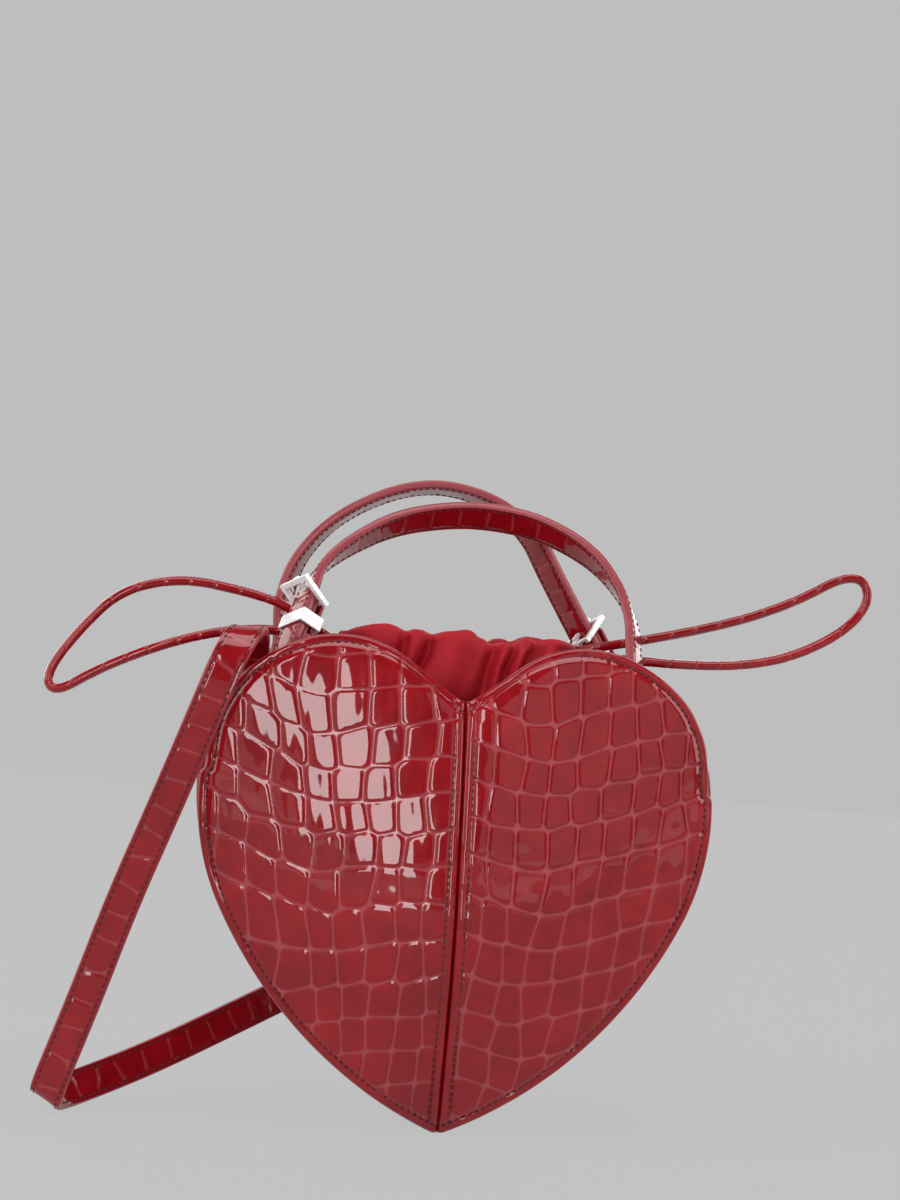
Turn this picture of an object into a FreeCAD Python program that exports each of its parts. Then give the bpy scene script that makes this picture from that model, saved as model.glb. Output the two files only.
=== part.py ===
import FreeCAD, Part
import Sketcher
import math
import os

V = FreeCAD.Vector

# Sizes in millimetres and degrees. X is right, Y is back, Z is up, and the tip of the heart is the origin.
SIZES = {
    "lobe_centre_x": 48.7,
    "lobe_centre_z": 146.8,
    "lobe_radius": 44.6,
    "lobe_turn": 42.0,
    "notch_slope": 36.0,
    "shoulder_radius": 73.0,
    "side_radius": 96.0,
    "side_turn": 27.0,
    "lower_radius": 183.7,
    "tip_radius": 8.0,
    "edge_depth": 35.4,
    "edge_reach": 104.0,
    "ridge_rise": 16.0,
    "ridge_radius": 290.0,
    "ridge_middle": 95.0,
    "section_low": -6.0,
    "section_high": 197.0,
    "prism_depth": 70.0,
    "space": 160.0,
    "leather": 1.4,
    "board": 1.0,
    "lining": 0.8,
    "glue_gap": 0.1,
    "seam_gap": 0.3,
    "flange": 4.0,
    "gusset": 1.6,
    "gusset_lining": 0.8,
    "gusset_top": 135.8,
    "cloth": 1.0,
    "pouch_z_0": 126.0,
    "pouch_run_0": 50.0,
    "pouch_seat_gap": 1.0,
    "pouch_z_1": 150.0,
    "pouch_run_1": 46.0,
    "pouch_end_1": 31.0,
    "pouch_z_2": 168.0,
    "pouch_run_2": 33.0,
    "pouch_end_2": 20.0,
    "pouch_z_3": 179.0,
    "pouch_run_3": 28.0,
    "pouch_end_3": 13.0,
    "pouch_z_4": 191.0,
    "pouch_run_4": 28.0,
    "pouch_end_4": 13.0,
    "pouch_z_5": 198.0,
    "pouch_run_5": 31.0,
    "pouch_end_5": 19.0,
    "cord": 3.6,
    "cord_clearance": 0.4,
    "channel_length": 54.0,
    "channel_low": 179.5,
    "channel_high": 190.5,
    "channel_wall": 0.8,
    "channel_off": 0.3,
    "left_cord_level": 182.6,
    "right_cord_level": 187.4,
    "cord_off": 15.4,
    "strap_width": 13.7,
    "strap_ply": 1.55,
    "strap_seam": 0.1,
    "tab_width": 13.0,
    "tab_ply": 1.2,
    "tab_off": 1.9,
    "tab_bore": 2.1,
    "pin": 1.8,
    "pin_fit": 0.1,
    "pin_height": 21.0,
    "frame_width": 18.2,
    "frame_length": 15.0,
    "frame_bar": 2.0,
    "frame_thick": 2.0,
    "frame_tilt": 24.0,
    "frame_end": 1.9,
    "prong_hub": 3.6,
    "prong_width": 2.4,
    "prong_thick": 1.5,
    "prong_length": 13.3,
    "prong_gap": 0.5,
    "prong_slot": 6.8,
    "keeper_wall": 0.8,
    "keeper_fit": 0.35,
    "keeper_height": 6.0,
    "keeper_base": 8.6,
    "pivot_z": 186.0,
    "front_pivot_y": -20.0,
    "rear_pivot_y": 21.9,
    "front_lean": 28.0,
    "rear_lean": 6.1,
    "front_buckle_x": -70.0,
    "front_leg_x": 69.0,
    "front_arch_height": 57.0,
    "rear_buckle_x": 60.5,
    "rear_leg_x": -70.0,
    "rear_arch_height": 70.0,
    "pivot_gap": 0.5,
    "tail_lift": 2.0,
    "anchor_ply": 2.4,
    "anchor_off": 0.6,
    "anchor_knee": 3.0,
    "anchor_high": 158.0,
    "anchor_low": 140.0,
}

# The share of a run that a bend may take, and how finely bends and runs are cut.
bend_share = 0.45
bend_step = 9.0
run_cuts = 3

doc = FreeCAD.newDocument("heart_shaped_purse")
sheet = doc.addObject("Spreadsheet::Sheet", "sizes")
for row, (alias, value) in enumerate(SIZES.items(), start=1):
    sheet.set(f"A{row}", alias)
    sheet.set(f"B{row}", str(value))
    sheet.setAlias(f"B{row}", alias)
doc.recompute()


def size(alias):
    """One value of the sheet as a number."""
    return float(sheet.get(alias))


# Sketch helpers: a constraint whose value follows the sheet.
def bind(sketch, constraint, rule):
    index = sketch.addConstraint(constraint)
    sketch.setExpression(f"Constraints[{index}]", rule)


def join(sketch, first, first_end, second, second_end, kind="Coincident"):
    sketch.addConstraint(Sketcher.Constraint(kind, first, first_end, second, second_end))


def circle_arc(centre, radius, start, end):
    """An arc, anticlockwise, with its angles in degrees."""
    round_line = Part.Circle(V(centre[0], centre[1], 0), V(0, 0, 1), radius)
    return Part.ArcOfCircle(round_line, math.radians(start), math.radians(end))


def along(angle):
    return math.cos(math.radians(angle)), math.sin(math.radians(angle))


UPRIGHT = FreeCAD.Placement(V(0, 0, 0), FreeCAD.Rotation(V(1, 0, 0), 90))
SIDEWAYS = FreeCAD.Rotation(V(0, 1, 0), V(0, 0, 1), V(1, 0, 0), "XYZ")


def heart_half(name, inset_rule, inset):
    """The right half of the heart as a closed outline, set in by an inset."""
    sketch = doc.addObject("Sketcher::SketchObject", name)
    sketch.Placement = UPRIGHT
    lobe = (size("lobe_centre_x"), size("lobe_centre_z"))
    lobe_r = size("lobe_radius") - inset
    slope = size("notch_slope")
    turn = size("lobe_turn")
    away = along(turn)
    grow = size("lobe_radius") - size("shoulder_radius")
    shoulder = (lobe[0] + grow * away[0], lobe[1] + grow * away[1])
    shoulder_r = size("shoulder_radius") - inset
    side = (shoulder[0] + size("shoulder_radius") - size("side_radius"), shoulder[1])
    side_r = size("side_radius") - inset
    low = along(-size("side_turn"))
    grow = size("side_radius") - size("lower_radius")
    lower = (side[0] + grow * low[0], side[1] + grow * low[1])
    lower_r = size("lower_radius") - inset
    reach = size("lower_radius") - size("tip_radius")
    tip = (0.0, lower[1] - math.sqrt(reach**2 - lower[0] ** 2))
    tip_r = size("tip_radius") - inset
    tip_angle = math.degrees(math.atan2(tip[1] - lower[1], tip[0] - lower[0]))
    rise = along(slope + 90)
    touch = (lobe[0] + lobe_r * rise[0], lobe[1] + lobe_r * rise[1])
    notch = touch[1] - touch[0] * math.tan(math.radians(slope))
    sketch.addGeometry(Part.LineSegment(V(0, notch, 0), V(touch[0], touch[1], 0)))
    sketch.addGeometry(circle_arc(lobe, lobe_r, turn, slope + 90))
    sketch.addGeometry(circle_arc(shoulder, shoulder_r, 0, turn))
    sketch.addGeometry(circle_arc(side, side_r, -size("side_turn"), 0))
    sketch.addGeometry(circle_arc(lower, lower_r, tip_angle, -size("side_turn")))
    sketch.addGeometry(circle_arc(tip, tip_r, -90, tip_angle))
    sketch.addGeometry(Part.LineSegment(V(0, tip[1] - tip_r, 0), V(0, notch, 0)))
    join(sketch, 0, 2, 1, 2, "Tangent")
    join(sketch, 1, 1, 2, 2, "Tangent")
    join(sketch, 2, 1, 3, 2, "Tangent")
    join(sketch, 3, 1, 4, 2, "Tangent")
    join(sketch, 4, 1, 5, 2, "Tangent")
    join(sketch, 5, 1, 6, 1)
    join(sketch, 6, 2, 0, 1)
    sketch.addConstraint(Sketcher.Constraint("PointOnObject", 6, 1, -2))
    sketch.addConstraint(Sketcher.Constraint("PointOnObject", 6, 2, -2))
    sketch.addConstraint(Sketcher.Constraint("PointOnObject", 5, 3, -2))
    for piece, alias in enumerate(["lobe", "shoulder", "side", "lower", "tip"], start=1):
        radius = size(f"{alias}_radius") - inset
        rule = f"sizes.{alias}_radius - {inset_rule}"
        bind(sketch, Sketcher.Constraint("Radius", piece, radius), rule)
    bind(sketch, Sketcher.Constraint("DistanceX", -1, 1, 1, 3, lobe[0]), "sizes.lobe_centre_x")
    bind(sketch, Sketcher.Constraint("DistanceY", -1, 1, 1, 3, lobe[1]), "sizes.lobe_centre_z")
    return sketch


def prism(name, inset_rule, inset):
    """A heart half drawn through the whole depth of the bag."""
    outline = heart_half(f"{name}_outline", inset_rule, inset)
    solid = doc.addObject("Part::Extrusion", name)
    solid.Base = outline
    solid.DirMode = "Normal"
    solid.Solid = True
    solid.Symmetric = True
    solid.setExpression("LengthFwd", "sizes.prism_depth * 2")
    return solid


def ridged(name, depth_rule, depth):
    """The right half of the bag's thickness: a curved ridge at the middle, straight at the side."""
    radius = size("ridge_radius") - depth
    centre = size("ridge_radius") - size("edge_depth") - size("ridge_rise")
    middle = size("ridge_middle")
    low = size("section_low")
    high = size("section_high")
    up = math.degrees(math.asin((high - middle) / radius))
    down = math.degrees(math.asin((middle - low) / radius))
    front_low = V(centre - radius * math.cos(math.radians(down)), low, 0)
    front_high = V(centre - radius * math.cos(math.radians(up)), high, 0)
    ridge = doc.addObject("Sketcher::SketchObject", f"{name}_ridge")
    ridge.Placement = FreeCAD.Placement(V(0, 0, 0), SIDEWAYS)
    ridge.addGeometry(circle_arc((centre, middle), radius, 180 - up, 180 + down))
    ridge.addGeometry(Part.LineSegment(front_low, V(-front_low.x, low, 0)))
    ridge.addGeometry(circle_arc((-centre, middle), radius, -down, up))
    ridge.addGeometry(Part.LineSegment(V(-front_high.x, high, 0), front_high))
    join(ridge, 0, 2, 1, 1)
    join(ridge, 1, 2, 2, 1)
    join(ridge, 2, 2, 3, 1)
    join(ridge, 3, 2, 0, 1)
    back = "sizes.ridge_radius - sizes.edge_depth - sizes.ridge_rise"
    for piece, sign in ((0, 1), (2, -1)):
        rule = f"sizes.ridge_radius - {depth_rule}"
        bind(ridge, Sketcher.Constraint("Radius", piece, radius), rule)
        ends = (-1, 1, piece, 3) if sign > 0 else (piece, 3, -1, 1)
        bind(ridge, Sketcher.Constraint("DistanceX", *ends, centre), back)
        bind(ridge, Sketcher.Constraint("DistanceY", -1, 1, piece, 3, middle), "sizes.ridge_middle")
    ridge.addConstraint(Sketcher.Constraint("Horizontal", 1))
    ridge.addConstraint(Sketcher.Constraint("Horizontal", 3))
    bind(ridge, Sketcher.Constraint("DistanceY", 1, 1, -1, 1, -low), "-sizes.section_low")
    bind(ridge, Sketcher.Constraint("DistanceY", -1, 1, 3, 1, high), "sizes.section_high")
    half = size("edge_depth") - depth
    edge = doc.addObject("Sketcher::SketchObject", f"{name}_edge")
    edge.Placement = FreeCAD.Placement(V(size("edge_reach"), 0, 0), SIDEWAYS)
    edge.setExpression("Placement.Base.x", "sizes.edge_reach")
    corners = [V(-half, high, 0), V(-half, low, 0), V(half, low, 0), V(half, high, 0)]
    for place, corner in enumerate(corners):
        edge.addGeometry(Part.LineSegment(corner, corners[(place + 1) % 4]))
    for place in range(4):
        join(edge, place, 2, (place + 1) % 4, 1)
    for place in (0, 2):
        edge.addConstraint(Sketcher.Constraint("Vertical", place))
        edge.addConstraint(Sketcher.Constraint("Horizontal", place + 1))
    rule = f"sizes.edge_depth - {depth_rule}"
    bind(edge, Sketcher.Constraint("DistanceX", 0, 1, -1, 1, half), rule)
    bind(edge, Sketcher.Constraint("DistanceX", -1, 1, 2, 1, half), rule)
    bind(edge, Sketcher.Constraint("DistanceY", 0, 2, -1, 1, -low), "-sizes.section_low")
    bind(edge, Sketcher.Constraint("DistanceY", -1, 1, 0, 1, high), "sizes.section_high")
    loft = doc.addObject("Part::Loft", name)
    loft.Sections = [ridge, edge]
    loft.Solid = True
    loft.Ruled = True
    return loft


def both(kind, name, base, tool):
    """One boolean of two objects."""
    made = doc.addObject(f"Part::{kind}", name)
    made.Base = base
    made.Tool = tool
    return made


def room(name, start_rule, front):
    """A box of the right side from start_rule outward, before or behind the middle plane."""
    box = doc.addObject("Part::Box", name)
    box.setExpression("Length", "sizes.space")
    box.setExpression("Width", "sizes.prism_depth")
    box.setExpression("Height", "sizes.space * 2")
    box.setExpression("Placement.Base.x", start_rule)
    box.setExpression("Placement.Base.y", "-sizes.prism_depth" if front else "0")
    box.setExpression("Placement.Base.z", "-sizes.space / 2")
    return box


def mirrored(name, source):
    other = doc.addObject("Part::Mirroring", name)
    other.Source = source
    other.Base = V(0, 0, 0)
    other.Normal = V(1, 0, 0)
    return other


NODES = {}


def node(name, made):
    """Names an object as one of the parts to export."""
    made.Label = name
    NODES[name] = made
    return made


# The layers of the two hearts: leather, board and lining, with a thin line of glue between them.
leather_in = "sizes.leather"
board_out = "(sizes.leather + sizes.glue_gap)"
board_in = "(sizes.leather + sizes.glue_gap + sizes.board)"
lining_out = "(sizes.leather + 2 * sizes.glue_gap + sizes.board)"
lining_in = "(sizes.leather + 2 * sizes.glue_gap + sizes.board + sizes.lining)"
core_out = "(sizes.leather + 3 * sizes.glue_gap + sizes.board + sizes.lining)"
flange_in = "(sizes.leather + 3 * sizes.glue_gap + sizes.board + sizes.lining + sizes.gusset)"
leather_t = size("leather")
glue = size("glue_gap")
board_t = leather_t + glue + size("board")
lining_t = board_t + glue + size("lining")
core_t = lining_t + glue
heart = prism("heart", "0", 0.0)
layer_rules = {
    "leather": ("0", 0.0, leather_in, leather_t),
    "board": (board_out, leather_t + glue, board_in, board_t),
    "lining": (lining_out, board_t + glue, lining_in, lining_t),
}
sides = {"front": True, "back": False}
for layer, (outer_rule, outer, inner_rule, inner) in layer_rules.items():
    thick = ridged(f"{layer}_outer", outer_rule, outer)
    thin = ridged(f"{layer}_inner", inner_rule, inner)
    skin = both("Cut", f"{layer}_skin", thick, thin)
    cut_out = both("Common", f"{layer}_heart", skin, heart)
    for side, is_front in sides.items():
        start = "sizes.seam_gap / 2" if layer == "leather" else "0"
        space = room(f"{layer}_{side}_room", start, is_front)
        half = both("Common", f"{side}_{layer}_right", cut_out, space)
        if layer == "leather":
            node(f"{side}_right_panel", half)
            node(f"{side}_left_panel", mirrored(f"{side}_leather_left", half))
        else:
            other = mirrored(f"{side}_{layer}_left", half)
            node(f"{side}_{layer}", both("Fuse", f"{side}_{layer}_whole", half, other))

# The gusset: a wall set in from the edge, with a flange sewn to each heart.
core = ridged("core", core_out, core_t)
hollow = ridged("hollow", flange_in, core_t + size("gusset"))
wall_in_rule = "(sizes.flange + sizes.gusset)"
wall_in = size("flange") + size("gusset")
wall_outside = prism("wall_outside", "sizes.flange", size("flange"))
wall_inside = prism("wall_inside", wall_in_rule, wall_in)
wall_ring = both("Cut", "wall_ring", wall_outside, wall_inside)
wall = both("Common", "wall", core, wall_ring)
flange_skin = both("Cut", "flange_skin", core, hollow)
flange_ring = both("Cut", "flange_ring", heart, wall_inside)
flange_strip = both("Common", "flange_strip", flange_skin, flange_ring)
channel = both("Fuse", "gusset_section", wall, flange_strip)
below = doc.addObject("Part::Box", "gusset_room")
below.setExpression("Length", "sizes.space")
below.setExpression("Width", "sizes.prism_depth * 2")
below.setExpression("Height", "sizes.space + sizes.gusset_top")
below.setExpression("Placement.Base.x", "sizes.seam_gap / 2")
below.setExpression("Placement.Base.y", "-sizes.prism_depth")
below.setExpression("Placement.Base.z", "-sizes.space")
right_gusset = node("right_gusset", both("Common", "gusset_right", channel, below))
node("left_gusset", mirrored("gusset_left", right_gusset))
liner_out_rule = "(sizes.flange + sizes.gusset + sizes.glue_gap)"
liner_in_rule = "(sizes.flange + sizes.gusset + sizes.glue_gap + sizes.gusset_lining)"
liner_outside = prism("liner_outside", liner_out_rule, wall_in + glue)
liner_inside = prism("liner_inside", liner_in_rule, wall_in + glue + size("gusset_lining"))
liner_ring = both("Cut", "liner_ring", liner_outside, liner_inside)
liner = both("Common", "liner", hollow, liner_ring)
right_liner = node("right_gusset_lining", both("Common", "liner_right", liner, below))
node("left_gusset_lining", mirrored("liner_left", right_liner))


# Inner face of a lining at a place, and its slope sideways, for what is sewn to it.
def inner_face(x, z, sign):
    radius = size("ridge_radius") - lining_t
    centre = size("ridge_radius") - size("edge_depth") - size("ridge_rise")
    ridge = math.sqrt(radius**2 - (z - size("ridge_middle")) ** 2) - centre
    edge = size("edge_depth") - lining_t
    share = abs(x) / size("edge_reach")
    slope = math.copysign((edge - ridge) / size("edge_reach"), x)
    return sign * (ridge * (1 - share) + edge * share), -sign * slope


# The pouch: a cloth sleeve whose sections are two straight runs with round ends, sewn in at its foot.
ridge_rule = (
    f"(sqrt((sizes.ridge_radius - {lining_in})^2 - (sizes.pouch_z_0 - sizes.ridge_middle)^2)"
    " - sizes.ridge_radius + sizes.edge_depth + sizes.ridge_rise)"
)
seat_rule = (
    f"({ridge_rule} * (1 - sizes.pouch_run_0 / sizes.edge_reach)"
    f" + (sizes.edge_depth - {lining_in}) * sizes.pouch_run_0 / sizes.edge_reach - sizes.pouch_seat_gap)"
)
seat = inner_face(size("pouch_run_0"), size("pouch_z_0"), 1)[0] - size("pouch_seat_gap")


def slot_sketch(name, place, skin_rule, skin):
    sketch = doc.addObject("Sketcher::SketchObject", name)
    sketch.setExpression("Placement.Base.z", f"sizes.pouch_z_{place}")
    run = size(f"pouch_run_{place}")
    end = (size(f"pouch_end_{place}") if place else seat) - skin
    sketch.addGeometry(Part.LineSegment(V(-run, end, 0), V(run, end, 0)))
    sketch.addGeometry(circle_arc((run, 0), end, -90, 90))
    sketch.addGeometry(Part.LineSegment(V(run, -end, 0), V(-run, -end, 0)))
    sketch.addGeometry(circle_arc((-run, 0), end, 90, 270))
    join(sketch, 0, 2, 1, 2, "Tangent")
    join(sketch, 1, 1, 2, 1, "Tangent")
    join(sketch, 2, 2, 3, 2, "Tangent")
    join(sketch, 3, 1, 0, 1, "Tangent")
    sketch.addConstraint(Sketcher.Constraint("PointOnObject", 1, 3, -1))
    sketch.addConstraint(Sketcher.Constraint("PointOnObject", 3, 3, -1))
    rule = f"sizes.pouch_end_{place} - {skin_rule}" if place else f"{seat_rule} - {skin_rule}"
    bind(sketch, Sketcher.Constraint("Radius", 1, end), rule)
    bind(sketch, Sketcher.Constraint("DistanceX", -1, 1, 1, 3, run), f"sizes.pouch_run_{place}")
    bind(sketch, Sketcher.Constraint("DistanceX", 3, 3, -1, 1, run), f"sizes.pouch_run_{place}")
    return sketch


def sleeve(name, skin_rule, skin):
    loft = doc.addObject("Part::Loft", name)
    loft.Sections = [slot_sketch(f"{name}_{place}", place, skin_rule, skin) for place in range(6)]
    loft.Solid = True
    loft.Ruled = True
    return loft


pouch_outside = sleeve("pouch_outside", "0", 0.0)
pouch_inside = sleeve("pouch_inside", "sizes.cloth", size("cloth"))
node("drawstring_pouch", both("Cut", "pouch", pouch_outside, pouch_inside))


# A rectangle about the origin of a sketch, whose sides follow the sheet.
def rectangle(sketch, wide_rule, wide, tall_rule, tall):
    first = sketch.GeometryCount
    corners = [V(-wide, -tall, 0), V(wide, -tall, 0), V(wide, tall, 0), V(-wide, tall, 0)]
    corners = [corner * 0.5 for corner in corners]
    for place, corner in enumerate(corners):
        sketch.addGeometry(Part.LineSegment(corner, corners[(place + 1) % 4]))
    for place in range(4):
        join(sketch, first + place, 2, first + (place + 1) % 4, 1)
    for place in (0, 2):
        sketch.addConstraint(Sketcher.Constraint("Horizontal", first + place))
        sketch.addConstraint(Sketcher.Constraint("Vertical", first + place + 1))
    sketch.addConstraint(Sketcher.Constraint("Symmetric", first, 1, first + 1, 2, -1, 1))
    bind(sketch, Sketcher.Constraint("DistanceX", first, 1, first, 2, wide), wide_rule)
    bind(sketch, Sketcher.Constraint("DistanceY", first + 1, 1, first + 1, 2, tall), tall_rule)


def body_sketch(body, name):
    """A sketch on the XY plane of a body."""
    sketch = body.newObject("Sketcher::SketchObject", name)
    plane = [plane for plane in body.Origin.OriginFeatures if plane.Role == "XY_Plane"][0]
    sketch.AttachmentSupport = [(plane, "")]
    sketch.MapMode = "FlatFace"
    return sketch


def pad(body, sketch, name, rule):
    made = body.newObject("PartDesign::Pad", name)
    made.Profile = sketch
    made.setExpression("Length", rule)
    return made


# The two cord channels: flat cloth tubes sewn along the neck of the pouch.
def cord_channel(name, sign):
    body = doc.addObject("PartDesign::Body", name)
    sketch = body_sketch(body, f"{name}_section")
    bore = size("cord") + 2 * size("cord_clearance")
    wall_t = size("channel_wall")
    tall = size("channel_high") - size("channel_low")
    bore_rule = "sizes.cord + 2 * sizes.cord_clearance"
    tall_rule = "sizes.channel_high - sizes.channel_low"
    wide = bore + 2 * wall_t
    rectangle(sketch, f"{bore_rule} + 2 * sizes.channel_wall", wide, tall_rule, tall)
    inner_rule = f"{tall_rule} - 2 * sizes.channel_wall"
    rectangle(sketch, bore_rule, bore, inner_rule, tall - 2 * wall_t)
    pad(body, sketch, f"{name}_pad", "sizes.channel_length")
    off = size("cord_off") + size("channel_wall")
    middle = (size("channel_high") + size("channel_low")) / 2
    start = V(-size("channel_length") / 2, sign * off, middle)
    body.Placement = FreeCAD.Placement(start, SIDEWAYS)
    return body


node("front_cord_channel", cord_channel("channel_front", -1))
node("rear_cord_channel", cord_channel("channel_rear", 1))


# Routes: straight runs joined by tangent arcs.
def bends(points):
    """The corner, both tangent points and the radius of each bend of a route."""
    found = []
    for before, corner, after in zip(points, points[1:], points[2:]):
        arrive = corner - before
        leave = after - corner
        half_turn = arrive.getAngle(leave) / 2
        trim = bend_share * min(arrive.Length, leave.Length)
        start = corner - arrive.normalize() * trim
        end = corner + leave.normalize() * trim
        found.append((corner, start, end, trim / math.tan(half_turn)))
    return found


def route_wire(points):
    """The route as one wire of lines and arcs, and the radius of each bend."""
    edges = []
    here = points[0]
    radii = []
    for corner, start, end, radius in bends(points):
        edges.append(Part.LineSegment(here, start).toShape())
        chord = (start + end) * 0.5
        depth = corner - chord
        away = depth.Length
        half = (end - start).Length / 2
        sagitta = radius - math.sqrt(radius**2 - half**2)
        middle = chord + depth * (sagitta / away)
        edges.append(Part.Arc(start, middle, end).toShape())
        radii.append(round(radius, 2))
        here = end
    edges.append(Part.LineSegment(here, points[-1]).toShape())
    return Part.Wire(edges), radii


def cord(name, points):
    """A round cord swept along a route."""
    wire, radii = route_wire(points)
    path = doc.addObject("Part::Feature", f"{name}_path")
    path.Shape = wire
    ring = doc.addObject("Part::Circle", f"{name}_ring")
    ring.setExpression("Radius", "sizes.cord / 2")
    heading = (points[1] - points[0]).normalize()
    ring.Placement = FreeCAD.Placement(points[0], FreeCAD.Rotation(V(0, 0, 1), heading))
    sweep = doc.addObject("Part::Sweep", name)
    sweep.Sections = [ring]
    sweep.Spine = (path, [f"Edge{place}" for place in range(1, len(wire.Edges) + 1)])
    sweep.Solid = True
    sweep.Frenet = False
    doc.recompute()
    full = math.pi * (size("cord") / 2) ** 2 * wire.Length
    print(name, "bend radii", radii, "volume share", round(sweep.Shape.Volume / full, 4))
    return sweep


# Cord routes, from the sewn end in the rear channel, round the loop, to the sewn end in the front channel.
left_level = size("left_cord_level")
right_level = size("right_cord_level")
off = size("cord_off") + size("channel_wall")
left_route = [
    V(24, off, left_level),
    V(-37, off, left_level),
    V(-54, 9.0, 191.0),
    V(-70, 6.5, 202.0),
    V(-88, 6.0, 206.5),
    V(-113, 5.0, 210.0),
    V(-136.5, 3.5, 203.7),
    V(-152.5, 2.0, 186.5),
    V(-164.5, 0.0, 168.5),
    V(-160.5, -1.5, 160.8),
    V(-144, -2.5, 171.5),
    V(-124, -3.0, 181.0),
    V(-104.5, -2.0, 187.8),
    V(-88, -0.5, 191.2),
    V(-70, 0.5, 192.0),
    V(-53, -4.5, 188.0),
    V(-37, -off, left_level),
    V(24, -off, left_level),
]
right_route = [
    V(-24, off, right_level),
    V(37, off, right_level),
    V(51, 5.5, 191.3),
    V(77, 5.0, 197.0),
    V(99.5, 4.0, 202.6),
    V(120, 3.5, 208.8),
    V(140.5, 3.0, 217.0),
    V(157, 2.0, 226.5),
    V(166.5, 1.0, 226.0),
    V(168.8, 0.0, 217.5),
    V(158.5, -1.0, 205.0),
    V(138, -2.0, 193.8),
    V(117.5, -2.5, 188.9),
    V(96, -2.5, 187.6),
    V(71, -2.5, 188.2),
    V(53, -5.5, 188.6),
    V(37, -off, right_level),
    V(-24, -off, right_level),
]
node("left_drawcord", cord("cord_left", left_route))
node("right_drawcord", cord("cord_right", right_route))


# Straps: a flat section carried along a route, with the direction of its width given at each point.
def stations(points, widths):
    """Places along a route with the heading, the width direction and the outward direction there."""
    marks = [(points[0], (points[1] - points[0]).normalize(), widths[0])]
    here, here_width = points[0], widths[0]
    turns = bends(points)
    for (corner, start, end, radius), width in zip(turns, widths[1:]):
        arrive = (corner - start).normalize()
        leave = (end - corner).normalize()
        for cut in range(1, run_cuts + 1):
            share = cut / run_cuts
            mixed = here_width * (1 - share) + width * share
            marks.append((here + (start - here) * share, arrive, mixed))
        turn = math.degrees(arrive.getAngle(leave))
        cuts = max(2, math.ceil(turn / bend_step))
        axis = arrive.cross(leave).normalize()
        centre = start + axis.cross(arrive) * radius
        for cut in range(1, cuts + 1):
            spin = FreeCAD.Rotation(axis, turn * cut / cuts)
            marks.append((centre + spin.multVec(start - centre), spin.multVec(arrive), width))
        here, here_width = end, width
    heading = (points[-1] - here).normalize()
    for cut in range(1, run_cuts + 1):
        share = cut / run_cuts
        mixed = here_width * (1 - share) + widths[-1] * share
        marks.append((here + (points[-1] - here) * share, heading, mixed))
    placed = []
    for place, heading, width in marks:
        across = (width - heading * width.dot(heading)).normalize()
        placed.append((place, heading, across, across.cross(heading)))
    return placed


def ply(marks, wide, inside, outside):
    """One ply of a strap between two distances from its middle plane."""
    rings = []
    for place, heading, across, outward in marks:
        half = across * (wide / 2)
        low = place + outward * inside
        high = place + outward * outside
        corners = [low - half, low + half, high + half, high - half]
        rings.append(Part.makePolygon(corners + corners[:1]))
    return Part.makeLoft(rings, True, True)


def round_end(mark, wide, inside, outside):
    """A half-round end of a ply, about the place where it bends."""
    place, heading, across, outward = mark
    return Part.makeCylinder(wide / 2, outside - inside, place + outward * inside, outward)


def plain(name, shape):
    """A shape that no sketch or primitive makes: the straps, which twist as they go."""
    made = doc.addObject("Part::Feature", name)
    made.Shape = shape
    return made


class Leg:
    """One end of a handle: its pivot and its directions up the strap, across it and outward of it."""

    def __init__(self, pivot, above, width, turned):
        self.pivot = pivot
        self.up = (above - pivot).normalize()
        self.across = (width - self.up * width.dot(self.up)).normalize()
        self.outward = self.across.cross(self.up * -1 if turned else self.up)

    def placed(self, across, up, outward, spin=None):
        """A placement in the leg's own axes: X across, Y up the strap, Z outward."""
        place = self.pivot + self.across * across + self.up * up + self.outward * outward
        third = self.across.cross(self.up)
        axes = FreeCAD.Rotation(self.across, self.up, third, "XYZ")
        if third.dot(self.outward) < 0:
            axes = FreeCAD.Rotation(self.across * -1, self.up, third * -1, "XYZ")
        return FreeCAD.Placement(place, axes.multiply(spin) if spin else axes)


class Handle:
    """One handle: an arch in a plane that leans back from its pivot line, with a leg at each end."""

    def __init__(self, name, start_x, end_x, arch_shares):
        lean = size(f"{name}_lean")
        tilt = FreeCAD.Rotation(V(1, 0, 0), -lean)
        self.points = []
        self.widths = []
        for along_share, rise_share, width in arch_shares:
            x = start_x + (end_x - start_x) * along_share
            rise = size(f"{name}_arch_height") * rise_share
            depth = size(f"{name}_pivot_y") + rise * math.tan(math.radians(lean))
            self.points.append(V(x, depth, size("pivot_z") + rise))
            self.widths.append(tilt.multVec(V(*width)))
        self.first = Leg(self.points[0], self.points[1], self.widths[0], False)
        self.last = Leg(self.points[-1], self.points[-2], self.widths[-1], True)

    def route(self, buckle_leg):
        """The points of the strap, whose end at the buckle is a free tail that stops a little higher."""
        lift = buckle_leg.up * size("tail_lift")
        return [point + lift if point == buckle_leg.pivot else point for point in self.points]


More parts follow.
